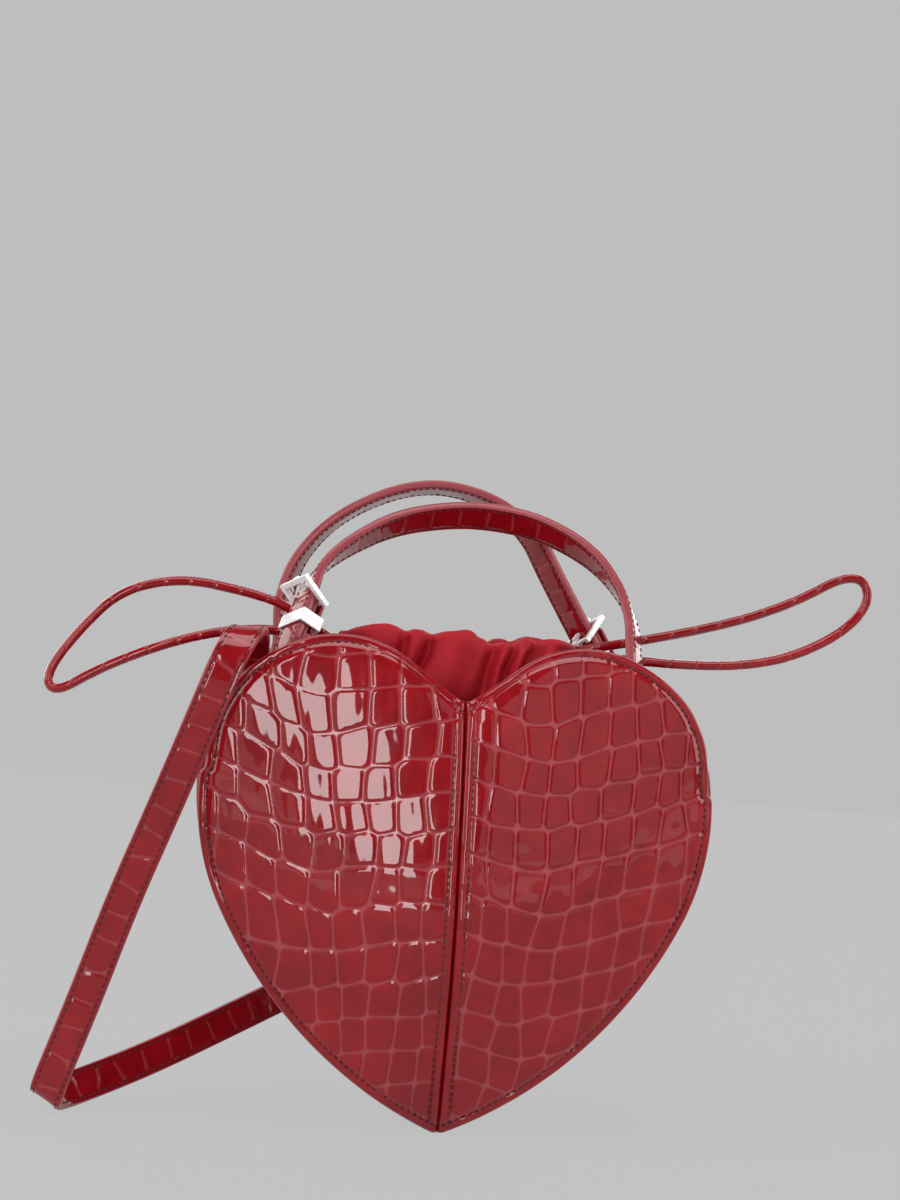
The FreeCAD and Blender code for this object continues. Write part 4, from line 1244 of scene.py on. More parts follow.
@dataclass(frozen=True)
class StrapForm:
    """A strap of two glued hides with painted edges and a sewn row along each edge.

    Attributes:
        wide: Width.
        thick: Thickness of both hides.
        sewn: Distance of the stitches from the edge.
        tile: Pitch of the emboss along the strap.
        seed: Seed of the emboss.
        edge_round: Reach of the rounded edges.
        face_points: Points across a face.
    """

    wide: float = 13.7
    thick: float = 3.2
    sewn: float = 1.8
    tile: float = 11.6
    seed: int = 5
    edge_round: float = 0.55
    face_points: int = 25

    def section(self) -> tuple[Array, Array, Array, Array]:
        """The closed cross-section: two crowned faces joined by round edges.

        Returns:
            Offsets across and out, finish of each stretch, and which way each point's face looks.
        """
        half, deep = self.wide / 2, self.thick / 2
        flat = np.linspace(-1.0, 1.0, self.face_points) * (half - self.edge_round)
        turn = np.radians(np.array([58.0, 20.0, -20.0, -58.0]))
        arc_w = half - self.edge_round + self.edge_round * np.cos(turn)
        arc_h = deep * 0.98 * np.sin(turn)
        crown = deep + 0.10 * (1.0 - (flat / half) ** 2)
        across = np.concatenate([flat, arc_w, flat[::-1], -arc_w])
        out = np.concatenate([crown, arc_h, -crown[::-1], -arc_h])
        finish = np.array(([0] * (len(flat) - 1) + [1] * (len(turn) + 1)) * 2)
        face, edge = np.ones(len(flat)), np.zeros(len(turn))
        look = np.concatenate([face, edge, -face, edge])
        return across, out, finish, look

    def carry(self, middle: Array, across: Array, blunt: tuple[bool, bool] = (False, False)) -> Shell:
        """Carry the section along a line.

        Args:
            middle: Points of the middle line.
            across: Width directions.
            blunt: Whether the start and the end are cut round, as a tongue is.

        Returns:
            The closed strap.
        """
        run = unit(np.gradient(middle, axis=0))
        out = np.cross(across, run)
        gone = travel(middle)
        width, rise, finish, look = self.section()
        narrow = np.ones(len(gone))
        half = self.wide / 2
        for near, use in zip((gone, gone[-1] - gone), blunt):
            if use:
                inside = np.clip((half - near) / half, 0.0, 1.0)
                narrow = np.minimum(narrow, np.sqrt(np.maximum(1.0 - inside**2, 0.02)))
        w = width[None, :] * narrow[:, None]
        along = np.broadcast_to(gone[:, None], w.shape)
        level = np.broadcast_to(rise[None, :], w.shape).copy()
        dips = np.zeros(w.shape)
        for way, seed in ((1.0, self.seed), (-1.0, self.seed + 1)):
            on = np.broadcast_to(look[None, :] == way, w.shape)
            hide = Scales(wide=self.tile, high=12.4, stray=0.16, slip=0.2, sway=0.7, tilt=0.03, seed=seed)
            relief, groove = hide.relief(along, w + 6.2)
            fade = 1.0 - ease(half - 3.2, half - 1.9, np.abs(w))
            press = 0.22 * np.exp(-(((half - self.sewn - np.abs(w)) / 0.6) ** 2))
            level = level + np.where(on, way * (relief * (0.2 + 0.8 * fade) * 0.8 - press + 0.12), 0.0)
            dips = np.where(on, groove * fade, dips)
        points = middle[:, None, :] + across[:, None, :] * w[..., None] + out[:, None, :] * level[..., None]
        points = capped(points, middle)
        pad = [(1, 1), (0, 0)]
        lay = np.stack([np.pad(along, pad, "edge"), np.pad(w, pad, "edge")], axis=-1)
        shell = Shell.grid(points, finish, np.pad(dips, pad), lay, loop=True)
        caps = shell.finish.reshape(len(points) - 1, -1)
        caps[[0, -1]] = 1
        shell.finish = caps.reshape(-1)
        return shell.outward()

    def stitches(self, middle: Array, across: Array, sewing: Sewing, ends: float = 4.0) -> Shell:
        """Sew both edges on both faces.

        Args:
            middle: Points of the middle line.
            across: Width directions.
            sewing: How a row of stitches is made.
            ends: Length left unsewn at each end.

        Returns:
            All rows in one shell.
        """
        run = unit(np.gradient(middle, axis=0))
        out = np.cross(across, run)
        gone = travel(middle)
        marks = np.arange(ends, gone[-1] - ends, sewing.pitch)

        def at(rows: Array) -> Array:
            """Rows read at the stitches' marks."""
            return read_at(marks, gone, rows)

        rows = []
        for edge in (-1.0, 1.0):
            for way in (-1.0, 1.0):
                place = at(middle) + at(across) * edge * (self.wide / 2 - self.sewn)
                place = place + at(out) * way * (self.thick / 2 - 0.16)
                rows.append(sewing.row(place, at(run), at(out) * way, sink=-0.02))
        return Shell.joined(rows)


@dataclass(frozen=True)
class Leg:
    """A strap leg's frame: a foot, the way up, across and out."""

    foot: Array
    up: Array
    across: Array

    @property
    def out(self) -> Array:
        """Square to up and across."""
        return unit(np.cross(self.across, self.up))

    def at(self, out: float | Array, up: float | Array) -> Array:
        """The place at a distance out and up."""
        out, up = np.atleast_1d(out)[:, None], np.atleast_1d(up)[:, None]
        return self.foot + self.out * out + self.up * up


@dataclass
class CarryHandle:
    """One arched carrying handle: strap, buckle tab, hardware and the feet sewn into the purse.

    Attributes:
        name: front or rear.
        foot_y: Depth of the handle's feet.
        lean: Lean from upright, in degrees.
        rows: Control points as x, z and the three numbers of the width direction before the lean.
        buckle_first: Whether the buckle is on the first leg.
        tab_foot: Where the buckle's tab bends.
        plain_foot: Where the other leg bends.
        inner: Depth of the lining at the feet, for the buckle's and the plain side, high and low.
        pivot: Foot of the buckle's leg, as x and z.
        palette: Finishes.
        seed: Seed of the strap's emboss.
        level: Height at which the lean starts.
        tab_wide: Width of the buckle's tab.
        tab_ply: Thickness of one ply of the tab.
        tab_out: Distance from the leg's line out to the middle of the tab.
        tab_bend: Radius of the tab's bend round the pin.
        pin_up: Height of the pin above the pivot, along the leg.
        plain_wide: Width of the other leg's sewn end.
        foot_ply: Thickness of the sewn ends.
        sewn_at: Heights of the sewn ends' three lowest points.
        sewing: How the rows of stitches are made.
    """

    name: str
    foot_y: float
    lean: float
    rows: list[tuple[float, float, float, float, float]]
    buckle_first: bool
    tab_foot: tuple[float, float, float]
    plain_foot: tuple[float, float, float]
    inner: tuple[tuple[float, float], tuple[float, float]]
    pivot: tuple[float, float]
    palette: Palette
    seed: int
    level: float = 186.0
    tab_wide: float = 13.0
    tab_ply: float = 1.2
    tab_out: float = -4.15
    tab_bend: float = 1.65
    pin_up: float = 21.0
    plain_wide: float = 13.6
    foot_ply: float = 2.5
    sewn_at: tuple[float, float, float] = (158.0, 149.0, 140.0)
    sewing: Sewing = field(default_factory=Sewing)

    def route(self) -> tuple[Array, Array]:
        """Control points and width directions of the strap, leaned about the line of its feet."""
        table = np.array(self.rows, float)
        tilt = math.radians(self.lean)
        x, z = table[:, 0], table[:, 1]
        points = np.stack([x, self.foot_y + (z - self.level) * math.tan(tilt), z], axis=1)
        wx, wy, wz = table[:, 2], table[:, 3], table[:, 4]
        flat, rise = math.cos(tilt), math.sin(tilt)
        widths = np.stack([wx, wy * flat + wz * rise, wz * flat - wy * rise], axis=1)
        return points, unit(widths)

    def leg(self) -> Leg:
        """The frame of the buckle's leg."""
        points, widths = self.route()
        if not self.buckle_first:
            points, widths = points[::-1], widths[::-1]
        up = unit(points[1] - points[0])
        across = unit(widths[0] - up * float(widths[0] @ up))
        x, z = self.pivot
        foot = np.array([x, self.foot_y + (z - self.level) * math.tan(math.radians(self.lean)), z])
        return Leg(foot, up, across)

    def strap(self) -> None:
        """Build the strap, with a tongue end under the buckle, and its stitches."""
        points, widths = self.route()
        middle, across = read_ribbon(points, widths, 0.62)
        form = StrapForm(seed=self.seed)
        blunt = (self.buckle_first, not self.buckle_first)
        shell = form.carry(middle, across, blunt)
        body = f"{self.name}_handle"
        nodes = (f"{self.name}_handle_outer", f"{self.name}_handle_lining")
        placed(f"{self.name}_strap", shell, self.palette.hide, body, nodes, weld=True)
        shell = form.stitches(middle, across, self.sewing)
        placed(f"{self.name}_strap_stitches", shell, [self.palette.thread], body)

    def feet(self) -> None:
        """Build the two ends that are sewn to the lining, each bending at the handle's hinge line."""
        points, widths = self.route()
        ends = [(widths[0], unit(points[1] - points[0])), (widths[-1], unit(points[-2] - points[-1]))]
        ends = ends if self.buckle_first else ends[::-1]
        sign = -1.0 if self.foot_y < 0 else 1.0
        feet = ((self.tab_foot, self.tab_wide), (self.plain_foot, self.plain_wide))
        for place, ((foot, wide), (across, up)) in enumerate(zip(feet, ends)):
            foot = np.asarray(foot, float)
            left = foot[0] < 0
            high, low = self.inner[place]
            flat = np.array([1.0 if across[0] > 0 else -1.0, 0.0, 0.0])
            depths = (high, high * 0.5 + low * 0.5, low)
            free = [foot + up * rise for rise in (6.0, 2.0, -5.0, -11.0)]
            sewn = [[foot[0], sign * deep, z] for deep, z in zip(depths, self.sewn_at)]
            turn = np.stack([across, across, across * 0.7 + flat * 0.3, flat, flat, flat, flat])
            middle, way = read_ribbon(np.array([*free, *sewn]), turn, 0.7)
            form = StrapForm(wide=wide, thick=self.foot_ply, seed=self.seed + 20 + place)
            name = f"{self.name}_{'left' if left else 'right'}_anchor"
            made = placed(
                f"{name}_strap",
                form.carry(middle, way),
                self.palette.hide,
                None,
                (name,),
                weld=True,
            )
            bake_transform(made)

    def tab(self) -> None:
        """Build the tab: a ply up, round the buckle's pin in a half turn, and a ply down."""
        leg = self.leg()
        middle, bend = self.tab_out, self.tab_bend
        base = float((np.asarray(self.tab_foot) - leg.foot) @ leg.up) - 1.0
        rise = np.linspace(base, self.pin_up, 40)
        flat = np.ones(len(rise))
        turn = np.linspace(0.0, math.pi, 18)[1:-1]
        out = np.concatenate([flat * (middle + bend), middle + bend * np.cos(turn), flat * (middle - bend)])
        up = np.concatenate([rise, self.pin_up + bend * np.sin(turn), rise[::-1]])
        line = evenly(leg.at(out, up), 110)
        across = np.tile(leg.across, (len(line), 1))
        form = StrapForm(wide=self.tab_wide, thick=self.tab_ply, seed=self.seed + 30)
        shell = form.carry(line, across)
        body = f"{self.name}_handle"
        node = f"{self.name}_buckle_tab"
        placed(f"{node}_fold", shell, self.palette.hide, body, (node,), weld=True)

    def hardware(self) -> None:
        """Ease the edges of the buckle's four metal parts."""
        for part, body, width in (
            ("frame", "handle", 0.55),
            ("pin", "handle", 0.15),
            ("prong", "prong", 0.25),
            ("keeper", "keeper", 0.35),
        ):
            node = f"{self.name}_buckle_{part}"
            polished(node, f"{self.name}_{body}", width, self.palette.metal)

    def build(self) -> None:
        """Build the whole handle."""
        self.strap()
        self.feet()
        self.tab()
        self.hardware()


def polished(node: str, body: str, width: float, metal: bpy.types.Material) -> None:
    """Copy a metal node, merge its loose triangles, and round its edges.

    Args:
        node: Node of the frame.
        body: Body that carries it.
        width: Width of the rounding.
        metal: Finish.
    """
    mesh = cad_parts[node].data.copy()
    mesh.name = f"{node}_polished"
    work = bmesh.new()
    work.from_mesh(mesh)
    bmesh.ops.remove_doubles(work, verts=work.verts, dist=1e-6)
    bmesh.ops.dissolve_limit(work, angle_limit=math.radians(1.0), verts=work.verts, edges=work.edges)
    work.to_mesh(mesh)
    work.free()
    mesh.materials.clear()
    mesh.materials.append(metal)
    mesh.polygons.foreach_set("use_smooth", np.ones(len(mesh.polygons), bool))
    mesh.set_sharp_from_angle(angle=math.radians(50.0))
    made = bpy.data.objects.new(f"{node}_polished", mesh)
    bpy.context.scene.collection.objects.link(made)
    bevel = made.modifiers.new("eased", "BEVEL")
    bevel.width = width * MM
    bevel.segments = 3
    bevel.limit_method = "ANGLE"
    bevel.angle_limit = math.radians(40.0)
    bevel.harden_normals = True
    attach(made, body)
    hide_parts(node)
    LOG.info("%s: %d faces on %s", made.name, len(mesh.polygons), body)


@dataclass
class ShoulderStrap:
    """The long strap from gusset to gusset, thrown over the left lobe and round behind the purse.

    Attributes:
        palette: Finishes.
        sewing: How the rows of stitches are made.
        rows: Control points, each a place and a width direction.
    """

    palette: Palette
    sewing: Sewing = field(default_factory=Sewing)
    rows: tuple[tuple[float, ...], ...] = (
        (-90.8, -4, 112, 0, 1, 0),
        (-91.6, -5, 134, 0, 1, 0),
        (-87, -14, 160, -0.75, 0.66, 0),
        (-83, -22, 184, -1, 0.1, 0),
        (-85, -36, 193, -1, 0, 0),
        (-92, -50, 183, -0.98, 0, 0.2),
        (-99, -51, 163, -0.93, 0, 0.37),
        (-112.5, -45, 124.5, -0.93, 0, 0.37),
        (-127, -36, 85, -0.93, 0, 0.37),
        (-140.0, -33, 43.5, -0.93, 0, 0.37),
        (-152.6, -33, 7.4, -0.88, 0, 0.47),
        (-150.5, -20, 4.9, -0.757, 0, 0.653),
        (-134, -3, 9, -0.5, 0, 0.865),
        (-112, 14, 16.5, -0.4, 0, 0.9),
        (-88, 34, 26, -0.36, 0, 0.93),
        (-45, 68, 44, -0.36, 0, 0.93),
        (10, 82, 66, -0.38, 0.05, 0.92),
        (60, 72, 90, -0.36, 0.3, 0.88),
        (99, 48, 112, -0.3, 0.75, 0.6),
        (110.5, 27, 127.5, -0.2, 0.93, 0.32),
        (103.5, 7.5, 152, 0, 1, 0.1),
        (91.6, 4, 153, 0, 1, 0),
        (90.8, 4, 112, 0, 1, 0),
    )

    def build(self) -> None:
        table = np.array(self.rows, float)
        middle, across = read_ribbon(table[:, :3], table[:, 3:], 0.68)
        form = StrapForm(seed=61)
        hide = self.palette.hide
        nodes = ("shoulder_strap_outer", "shoulder_strap_lining")
        shell = form.carry(middle, across)
        made = placed("shoulder_strap", shell, hide, "bag", nodes, weld=True)
        sewn = form.stitches(middle, across, self.sewing)
        sewn = placed("shoulder_strap_stitches", sewn, [self.palette.thread], "bag")


@dataclass
class Drawcords:
    """The two round leather drawcords, each a loop with a sewn seam along one side.

    Attributes:
        palette: Finishes.
        thick: Thickness.
        sides: Sides of the round section.
        left: Control points of the left loop.
        right: Control points of the right loop.
    """

    palette: Palette
    thick: float = 3.6
    sides: int = 28
    left: tuple[tuple[float, float, float], ...] = (
        (24, 16.2, 182.6),
        (-37, 16.2, 182.6),
        (-54, 9, 191),
        (-70, 6.5, 202),
        (-88, 6, 206.5),
        (-113, 5, 210),
        (-136.5, 3.5, 203.7),
        (-152, 2, 186.8),
        (-164, 0, 168.8),
        (-160.5, -1.5, 160.8),
        (-144, -2.5, 171.5),
        (-124, -3, 181),
        (-104.5, -2, 187.8),
        (-88, -0.5, 191.2),
        (-70, 0.5, 192),
        (-53, -4.5, 188),
        (-37, -16.2, 182.6),
        (24, -16.2, 182.6),
    )
    right: tuple[tuple[float, float, float], ...] = (
        (-24, 16.2, 187.4),
        (37, 16.2, 187.4),
        (51, 5.5, 191.3),
        (77, 5, 197),
        (99.5, 4, 202.6),
        (120, 3.5, 208.8),
        (140.5, 3, 217.6),
        (157.2, 2, 228),
        (167, 1, 227.6),
        (168.8, 0, 217.5),
        (158.5, -1, 205),
        (138, -2, 193.8),
        (117.5, -2.5, 188.9),
        (96, -2.5, 187.6),
        (71, -2.5, 188.2),
        (53, -5.5, 188.6),
        (37, -16.2, 187.4),
        (-24, -16.2, 187.4),
    )

    def tube(self, route: Array, seed: int) -> tuple[Shell, Array]:
        """A round cord along a route's spline, with crease rings and a notched seam.

        The radius falls in narrow rings at uneven distances, and rises in a ridge on the outer side
        of the loop, whose height saws along the cord.

        Args:
            route: Control points.
            seed: Seed of the rings' distances.

        Returns:
            The tube and its middle line.
        """
        line = nurbs([route], 24)[0]
        long = float(strides(line).sum())
        line = evenly(line, int(long / 0.5))
        run = unit(np.gradient(line, axis=0))
        front = np.tile([0.0, -1.0, 0.0], (len(line), 1))
        front = unit(front - run * (front * run).sum(axis=1, keepdims=True))
        above = np.cross(run, front)
        turn = np.linspace(0.0, math.tau, self.sides, endpoint=False)[None, :]
        gone = np.linspace(0.0, long, len(line))[:, None]
        pick = np.random.default_rng(seed)
        rings = np.cumsum(8.5 + 6.0 * pick.random(60))
        rings = rings[rings < long]
        slant = 0.8 * np.sin(turn + 1.1)
        ring = np.exp(-(((gone + slant)[..., None] - rings) ** 2).min(axis=-1) / 0.28)
        dip = ring * ease(-0.6, 0.4, np.cos(turn))
        saw = 0.55 + 0.45 * np.abs(((gone / 1.7) % 1.0) * 2.0 - 1.0)
        away = (turn - 1.85 + math.pi) % math.tau - math.pi
        ridge = 0.42 * saw * np.exp(-((away / 0.26) ** 2))
        radius = self.thick / 2 - 0.16 * dip + ridge + 0.03 * ripple(gone, turn * 3.0, 8.0, seed + 1)
        ways = front[:, None, :] * np.cos(turn)[..., None] + above[:, None, :] * np.sin(turn)[..., None]
        points = capped(line[:, None, :] + ways * radius[..., None], line)
        pad = [(1, 1), (0, 0)]
        lay = np.stack(np.broadcast_arrays(gone, turn * self.thick / 2), axis=-1)
        lay = np.pad(lay, [*pad, (0, 0)], "edge")
        # The crease rings carry a groove depth, which the leather paints paler as a painted highlight.
        shell = Shell.grid(points, 0, np.pad(dip * 0.8, pad), lay, loop=True)
        return shell.outward(), line

    def build(self) -> None:
        for name, route, seed in (("left", self.left, 7), ("right", self.right, 8)):
            shell, line = self.tube(np.array(route, float), seed)
            made = placed(
                f"{name}_drawcord_loop",
                shell,
                [self.palette.leather],
                f"{name}_cord",
                (f"{name}_drawcord",),
                weld=True,
            )


@dataclass
class Pouch:
    """The gathered cloth pouch that closes the purse between the two faces.

    Attributes:
        palette: Finishes.
        levels: Height, half length and half depth of the cloth from its foot up to the brim.
        pleats: Folds of the front: place along the neck, how far they stand out, and half width.
        brim: Height of the top along the front, as pairs of place and height.
        mouth: Rows from the brim into the closed mouth: share of depth, share of length, and rise.
        over_cords: Least half depth by the neck, which keeps the cloth over the cords.
        neck_half: Half length of the neck that the pleats and the brim are measured along.
        flat_wide: Width of the cloth laid flat, in metres; not used.
    """

    palette: Palette
    levels: tuple[tuple[float, float, float], ...] = (
        (127.0, 86.0, 35.5),
        (140.0, 82.0, 32.0),
        (152.0, 76.0, 28.5),
        (162.0, 66.0, 26.0),
        (170.0, 55.0, 25.6),
        (177.0, 47.0, 24.8),
        (183.0, 44.5, 24.0),
        (188.0, 46.0, 23.2),
        (192.0, 48.5, 21.8),
    )
    pleats: tuple[tuple[float, float, float], ...] = (
        (-44.0, -2.5, 2.5),
        (-35.0, 5.5, 7.0),
        (-24.0, -5.0, 2.0),
        (-20.0, 3.4, 3.0),
        (-14.2, -5.6, 1.9),
        (-3.5, 8.0, 8.5),
        (6.8, 2.0, 1.8),
        (12.0, -4.6, 2.2),
        (15.6, 2.6, 2.2),
        (21.0, -4.6, 1.6),
        (25.0, 4.4, 2.8),
        (31.6, -6.0, 2.4),
        (38.5, 4.4, 4.5),
    )
    brim: tuple[tuple[float, float], ...] = (
        (-45.0, 191.0),
        (-43.1, 192.3),
        (-39.1, 193.4),
        (-35.2, 194.4),
        (-30.0, 195.0),
        (-26.4, 193.8),
        (-23.8, 192.0),
        (-21.9, 192.9),
        (-19.9, 193.4),
        (-17.1, 193.2),
        (-15.0, 192.5),
        (-14.2, 191.4),
        (-12.2, 191.9),
        (-9.8, 192.8),
        (-7.1, 193.4),
        (-4.3, 193.6),
        (-1.1, 194.4),
        (2.1, 194.4),
        (4.3, 192.5),
        (5.5, 191.4),
        (7.2, 191.5),
        (10.1, 189.7),
        (12.2, 189.0),
        (15.3, 190.4),
        (18.2, 189.8),
        (21.4, 189.6),
        (22.4, 191.6),
        (24.0, 193.0),
        (26.5, 192.7),
        (29.8, 191.7),
        (32.2, 191.9),
        (35.4, 192.9),
        (39.5, 192.7),
        (43.6, 191.8),
        (46.1, 190.7),
    )
    mouth: tuple[tuple[float, float, float], ...] = (
        (0.96, 0.995, 1.1),
        (0.88, 0.985, 1.9),
        (0.77, 0.97, 2.1),
        (0.64, 0.955, 1.6),
        (0.52, 0.94, 0.2),
        (0.42, 0.925, -2.2),
        (0.34, 0.905, -5.5),
        (0.28, 0.88, -10.0),
        (0.22, 0.84, -16.0),
        (0.16, 0.78, -23.0),
    )
    over_cords: float = 18.5
    neck_half: float = 47.0
    flat_wide: float = 0.42

    def fold(self, place: Array, seed: int) -> Array:
        """How far the pleats stand out at places along the neck.

        Args:
            place: Place along the neck.
            seed: 0 for the front's own pleats, else the seed of made up ones.

        Returns:
            Distances out: a sum of bell curves.
        """
        rows = np.array(self.pleats)
        if seed:
            pick = np.random.default_rng(seed)
            stray = (pick.random(rows.shape) - 0.5) * np.array([5.0, 1.0, 0.8])
            rows = rows * np.array([-1.0, 1.0, 1.0]) + stray
        bells = np.exp(-(((place[..., None] - rows[:, 0]) / rows[:, 2]) ** 2))
        return (bells * rows[:, 1]).sum(axis=-1)

    def wall(self, turn: Array, rise: Array) -> Array:
        """The cloth from its foot up to the brim.

        A level is a flattened oval: x goes as the cosine and y as the sine of the turn, each to a power
        below one. Pleats push it out, more so towards the neck, and the brim's height follows them.

        Args:
            turn: Angles round the cloth, as one row.
            rise: Places from the foot, 0, to the brim, 1, as one column.

        Returns:
            A grid of points.
        """
        table = np.array(self.levels)
        height = table[0, 0] + (table[-1, 0] - table[0, 0]) * rise
        long = np.interp(height, table[:, 0], table[:, 1])
        deep = np.interp(height, table[:, 0], table[:, 2])
        wide = np.sign(np.cos(turn)) * np.abs(np.cos(turn)) ** 0.72
        thin = np.sign(np.sin(turn)) * np.abs(np.sin(turn)) ** 0.80
        neck = wide * self.neck_half
        front = np.sin(turn) < 0
        lean = (0.30 + 0.45 * ease(10.0, 35.0, neck)) * np.maximum(190.0 - height, 0.0)
        out = np.where(front, self.fold(neck + lean, 0), self.fold(neck - lean, 23))
        grow = ease(133.0, 180.0, height) * (0.65 + 0.35 * ease(170.0, 190.0, height))
        ends = 1.0 - 0.55 * np.abs(wide) ** 4
        slide = 0.8 * np.sin(height / 9.0 + neck / 15.0) * ease(150.0, 180.0, height)
        push = out * grow * ends
        crease = 0.45 * ripple(neck, height * 0.22, 7.0, 31) * grow
        low = 0.9 * ripple(neck * 1.5, height, 34.0, 32)
        x = long * wide + slide + 0.25 * push * wide
        y = deep * thin + np.sign(thin) * (push + crease + low) * np.abs(thin) ** 0.5
        least = self.over_cords * ease(170.0, 178.0, height) * (1.0 - ease(0.80, 0.97, np.abs(wide)))
        y = np.sign(thin) * (least + np.logaddexp(0.0, (np.abs(y) - least) / 0.7) * 0.7)
        brim_rows = np.array(self.brim)
        near = neck[..., None] + np.linspace(-1.2, 1.2, 9)
        turned = np.where(front[..., None], near, -near)
        brim = np.interp(turned, brim_rows[:, 0], brim_rows[:, 1]).mean(axis=-1)
        brim = brim - np.where(front, 0.0, 1.5)
        z = height + (brim - table[-1, 0]) * ease(0.55, 1.0, rise)
        return np.stack(np.broadcast_arrays(x, y, z), axis=-1)

    def build(self) -> None:
        turn = np.linspace(0.0, math.tau, 520, endpoint=False)[None, :]
        rise = np.linspace(0.0, 1.0, 88)[:, None]
        body = self.wall(turn, rise)
        over = []
        for pull, shrink, lift in self.mouth:
            over.append(body[-1] * np.array([shrink, pull, 1.0]) + np.array([0.0, 0.0, lift]))
        points = np.concatenate([body, np.stack(over)], axis=0)
        gone = np.concatenate([rise[:, 0] * 75.0, 75.0 + 2.0 * np.arange(1, len(over) + 1)])
        round_it = np.broadcast_to(turn * 60.0, points.shape[:2])
        lay = np.stack([round_it, np.broadcast_to(gone[:, None], points.shape[:2])], axis=-1)
        shell = Shell.grid(points, 0, None, lay, loop=True).outward()
        nodes = ("drawstring_pouch", "front_cord_channel", "rear_cord_channel")
        made = placed("gathered_pouch", shell, [self.palette.cloth], "bag", nodes)
        area = shell.area() * MM * MM
        LOG.info("pouch cloth: %.4f square metres", area)


@dataclass(frozen=True)
class SoftLight:
    """A soft rectangular light that faces the purse.

    Attributes:
        name: Name of the light.
        around: Degrees to the right of straight in front.
        rise: Degrees above level.
        far: Distance in metres.
        wide: Width in metres.
        tall: Height in metres.
        radiance: Brightness of its face.
        aim: Height in metres of the place that it faces.
    """

    name: str
    around: float
    rise: float
    far: float
    wide: float
    tall: float
    radiance: float
    aim: float = 0.11

    def hang(self) -> None:
        """Hang the light, with a power of the radiance times pi times the area."""
        data = bpy.data.lights.new(self.name, "AREA")
        data.shape = "RECTANGLE"
        data.size, data.size_y = self.wide, self.tall
        data.energy = self.radiance * math.pi * self.wide * self.tall
        a, e = math.radians(self.around), math.radians(self.rise)
        back = Vector((math.sin(a) * math.cos(e), -math.cos(a) * math.cos(e), math.sin(e)))
        made = bpy.data.objects.new(self.name, data)
        place = Matrix.Translation(back * self.far + Vector((0.0, 0.0, self.aim)))
        made.matrix_world = place @ (-back).to_track_quat("-Z", "Y").to_matrix().to_4x4()
        bpy.context.scene.collection.objects.link(made)


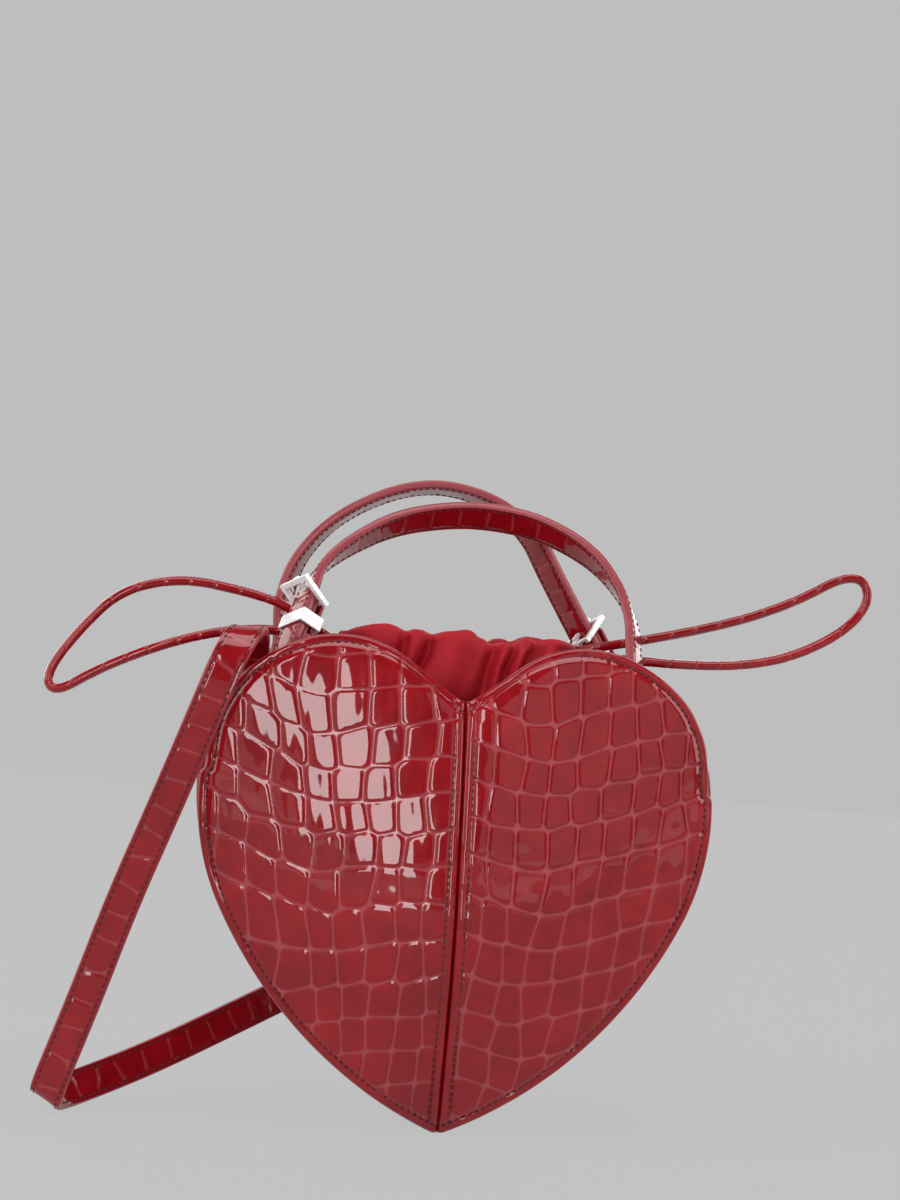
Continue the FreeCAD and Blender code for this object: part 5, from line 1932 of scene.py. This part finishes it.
@dataclass
class Studio:
    """Camera, soft lights, pale floor and the backdrop that sweeps up behind it.

    Attributes:
        eye: Place of the camera.
        aim: Place that it looks at.
        roll: Its roll, in degrees.
        lens: Its focal length.
        grey: Tone of the floor and the backdrop.
        glow: Strength of the tone that the camera and the reflections see.
        glow_share: Share of that tone, against the lit floor with its shadow.
        floor_half: Half width of the floor, and its reach in front.
        bend_start: Distance behind the purse at which the floor bends up.
        bend_radius: Radius of the bend.
        wall_top: Height of the backdrop.
        floor_gap: Distance of the floor below the purse's point.
        lights: The soft lights.
    """

    eye: tuple[float, float, float] = (-112.7, -1029.8, 190.0)
    aim: tuple[float, float, float] = (-8.2, -35.4, 207.5)
    roll: float = 3.6
    lens: float = 76.8
    grey: float = 0.527
    glow: float = 1.03
    glow_share: float = 0.92
    floor_half: float = 60000.0
    bend_start: float = 2400.0
    bend_radius: float = 1100.0
    wall_top: float = 6000.0
    floor_gap: float = 0.4
    lights: tuple[SoftLight, ...] = (
        SoftLight("tall_window", -11.3, 16.0, 2.2, 0.30, 1.45, 8.0),
        SoftLight("left_fill", -33.0, 16.0, 2.4, 1.35, 1.7, 0.6),
        SoftLight("right_fill", 26.5, 16.0, 2.4, 1.15, 1.9, 0.6),
        SoftLight("left_side", -76.0, 24.0, 2.0, 1.2, 1.6, 2.6),
        SoftLight("right_side", 78.0, 24.0, 2.0, 1.2, 1.6, 2.6),
        SoftLight("top_fill", 0.0, 80.0, 2.0, 1.6, 1.2, 3.0),
        SoftLight("rear_left", -146.0, 22.0, 2.2, 1.7, 1.8, 1.2),
        SoftLight("rear_right", 146.0, 22.0, 2.2, 1.7, 1.8, 1.2),
    )

    def camera(self) -> None:
        """Set the camera where the photograph was taken, with its small roll."""
        eye, aim = Vector(self.eye) * MM, Vector(self.aim) * MM
        ahead = (aim - eye).normalized()
        right = ahead.cross(Vector((0.0, 0.0, 1.0))).normalized()
        up = right.cross(ahead)
        turn = math.radians(self.roll)
        across = right * math.cos(turn) + up * math.sin(turn)
        above = up * math.cos(turn) - right * math.sin(turn)
        data = bpy.data.cameras.new("studio_camera")
        data.lens = self.lens
        data.sensor_width = 36.0
        data.clip_start, data.clip_end = 0.05, 50.0
        made = bpy.data.objects.new("studio_camera", data)
        rows = Matrix((across, above, -ahead)).transposed().to_4x4()
        rows.translation = eye
        made.matrix_world = rows
        bpy.context.scene.collection.objects.link(made)
        bpy.context.scene.camera = made

    def sweep(self) -> None:
        """Lay the floor and bend it up behind the purse: flat, then a quarter round, then upright."""
        turn = np.linspace(0.0, math.pi / 2, 24)
        bend = self.bend_radius
        floor = [-self.floor_half, -3000.0, -900.0, 0.0, 900.0]
        y = np.concatenate([floor, self.bend_start + bend * np.sin(turn), [self.bend_start + bend]])
        z = np.concatenate([np.zeros(len(floor)), bend - bend * np.cos(turn), [self.wall_top]])
        x = np.linspace(-self.floor_half, self.floor_half, 40)
        grid = np.broadcast_arrays(x[None, :], y[:, None], z[:, None] - self.floor_gap)
        shell = Shell.grid(np.stack(grid, axis=-1)).facing((0.0, 0.0, 1.0))
        mesh = smooth_mesh("pale_sweep", shell)
        mesh.materials.append(self.sweep_material())
        made = bpy.data.objects.new("pale_sweep", mesh)
        bpy.context.scene.collection.objects.link(made)

    def sweep_material(self) -> bpy.types.Material:
        """A matt tone that drifts a little, mixed with its own even glow for camera and mirror rays."""
        bench = Bench("pale_sweep")
        tone = bench.noise(bench.place(), 1.5, 2.0)
        low, high = [(self.grey * share,) * 3 for share in (0.99, 1.01)]
        colour = bench.blend(tone, low, high)
        bench.settings(Base_Color=colour, Roughness=0.9, Specular_IOR_Level=0.1)
        ray = bench.node("ShaderNodeLightPath")
        seen = bench.number("MAXIMUM", ray.outputs["Is Camera Ray"], ray.outputs["Is Glossy Ray"])
        seen = bench.number("MAXIMUM", seen, ray.outputs["Is Transmission Ray"])
        glow = bench.node("ShaderNodeEmission", Strength=self.glow, Color=colour)
        mix = bench.node("ShaderNodeMixShader")
        share = bench.number("MULTIPLY", seen, self.glow_share)
        for socket, value in zip(mix.inputs, (share, bench.shader.outputs[0], glow.outputs[0])):
            bench.put(value, socket)
        bench.put(mix.outputs[0], bench.tree.nodes["Material Output"].inputs["Surface"])
        return bench.material

    def world(self) -> None:
        """A dim even room."""
        world = bpy.data.worlds.new("dim_room")
        world.use_nodes = True
        world.node_tree.nodes["Background"].inputs["Color"].default_value = (0.10, 0.10, 0.10, 1.0)
        bpy.context.scene.world = world

    def build(self) -> None:
        """Set up the whole studio."""
        scene = bpy.context.scene
        scene.view_settings.view_transform = "Standard"
        self.camera()
        self.sweep()
        self.world()
        for light in self.lights:
            light.hang()


def front_handle(palette: Palette) -> CarryHandle:
    """The handle in front, leaned back towards the other, with its buckle on the left leg."""
    return CarryHandle(
        name="front",
        foot_y=-20.0,
        lean=28.0,
        rows=[
            (-71.05, 183, 0.545, -0.839, 0.0),
            (-66.5, 196, 0.545, -0.839, 0.0),
            (-62.3, 208, 0.50, -0.866, 0.0),
            (-58.6, 217, 0.24, -0.97, 0.0),
            (-47, 227.3, 0.14, -0.98, 0.1),
            (-28, 238.3, 0.08, -0.97, 0.2),
            (-3.5, 243.4, 0.0, -0.97, 0.24),
            (15, 243.2, -0.02, -0.97, 0.24),
            (33, 240.0, -0.05, -0.97, 0.22),
            (53, 229.8, -0.16, -0.97, 0.16),
            (65, 215, -0.30, -0.954, 0.08),
            (69, 202, -0.43, -0.903, 0.0),
            (69, 194, -0.45, -0.893, 0.0),
            (69, 185, -0.45, -0.893, 0.0),
        ],
        buckle_first=True,
        tab_foot=(-66.63, -18.56, 184.05),
        plain_foot=(69.0, -20.0, 186.0),
        inner=((33.3, 34.6), (32.8, 34.0)),
        pivot=(-70.0, 186.0),
        palette=palette,
        seed=101,
    )


def rear_handle(palette: Palette) -> CarryHandle:
    """The handle behind, nearly upright, with its buckle on the right leg."""
    return CarryHandle(
        name="rear",
        foot_y=21.9,
        lean=6.1,
        rows=[
            (-70, 185, -0.45, -0.893, 0.0),
            (-70.3, 194, -0.43, -0.903, 0.0),
            (-71, 204, -0.40, -0.917, 0.0),
            (-65.5, 223, -0.28, -0.96, 0.0),
            (-48, 242.3, -0.12, -0.993, 0.05),
            (-17, 256.2, 0.0, -0.99, 0.1),
            (11.5, 252.6, 0.2, -0.98, 0.05),
            (31, 237.6, 0.50, -0.866, 0.0),
            (38.6, 223.5, 0.545, -0.839, 0.0),
            (45.6, 211.5, 0.545, -0.839, 0.0),
            (52.6, 199.5, 0.545, -0.839, 0.0),
            (58.9, 188.8, 0.545, -0.839, 0.0),
            (64.4, 179.3, 0.545, -0.839, 0.0),
        ],
        buckle_first=False,
        tab_foot=(62.41, 18.76, 175.78),
        plain_foot=(-70.0, 21.9, 186.0),
        inner=((33.5, 34.8), (32.8, 34.0)),
        pivot=(65.54, 177.37),
        palette=palette,
        seed=131,
    )


def main() -> None:
    """Build the studio, then the purse piece by piece."""
    logging.basicConfig(level=logging.INFO, format="%(name)s: %(message)s")
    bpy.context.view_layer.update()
    palette = Palette()
    form = HeartForm()
    Studio().build()
    Drawcords(palette).build()
    ShoulderStrap(palette).build()
    HeartFaces(form, palette).build()
    Gussets(form, palette).build()
    Pouch(palette).build()
    front_handle(palette).build()
    rear_handle(palette).build()


if __name__ == "__main__":
    main()
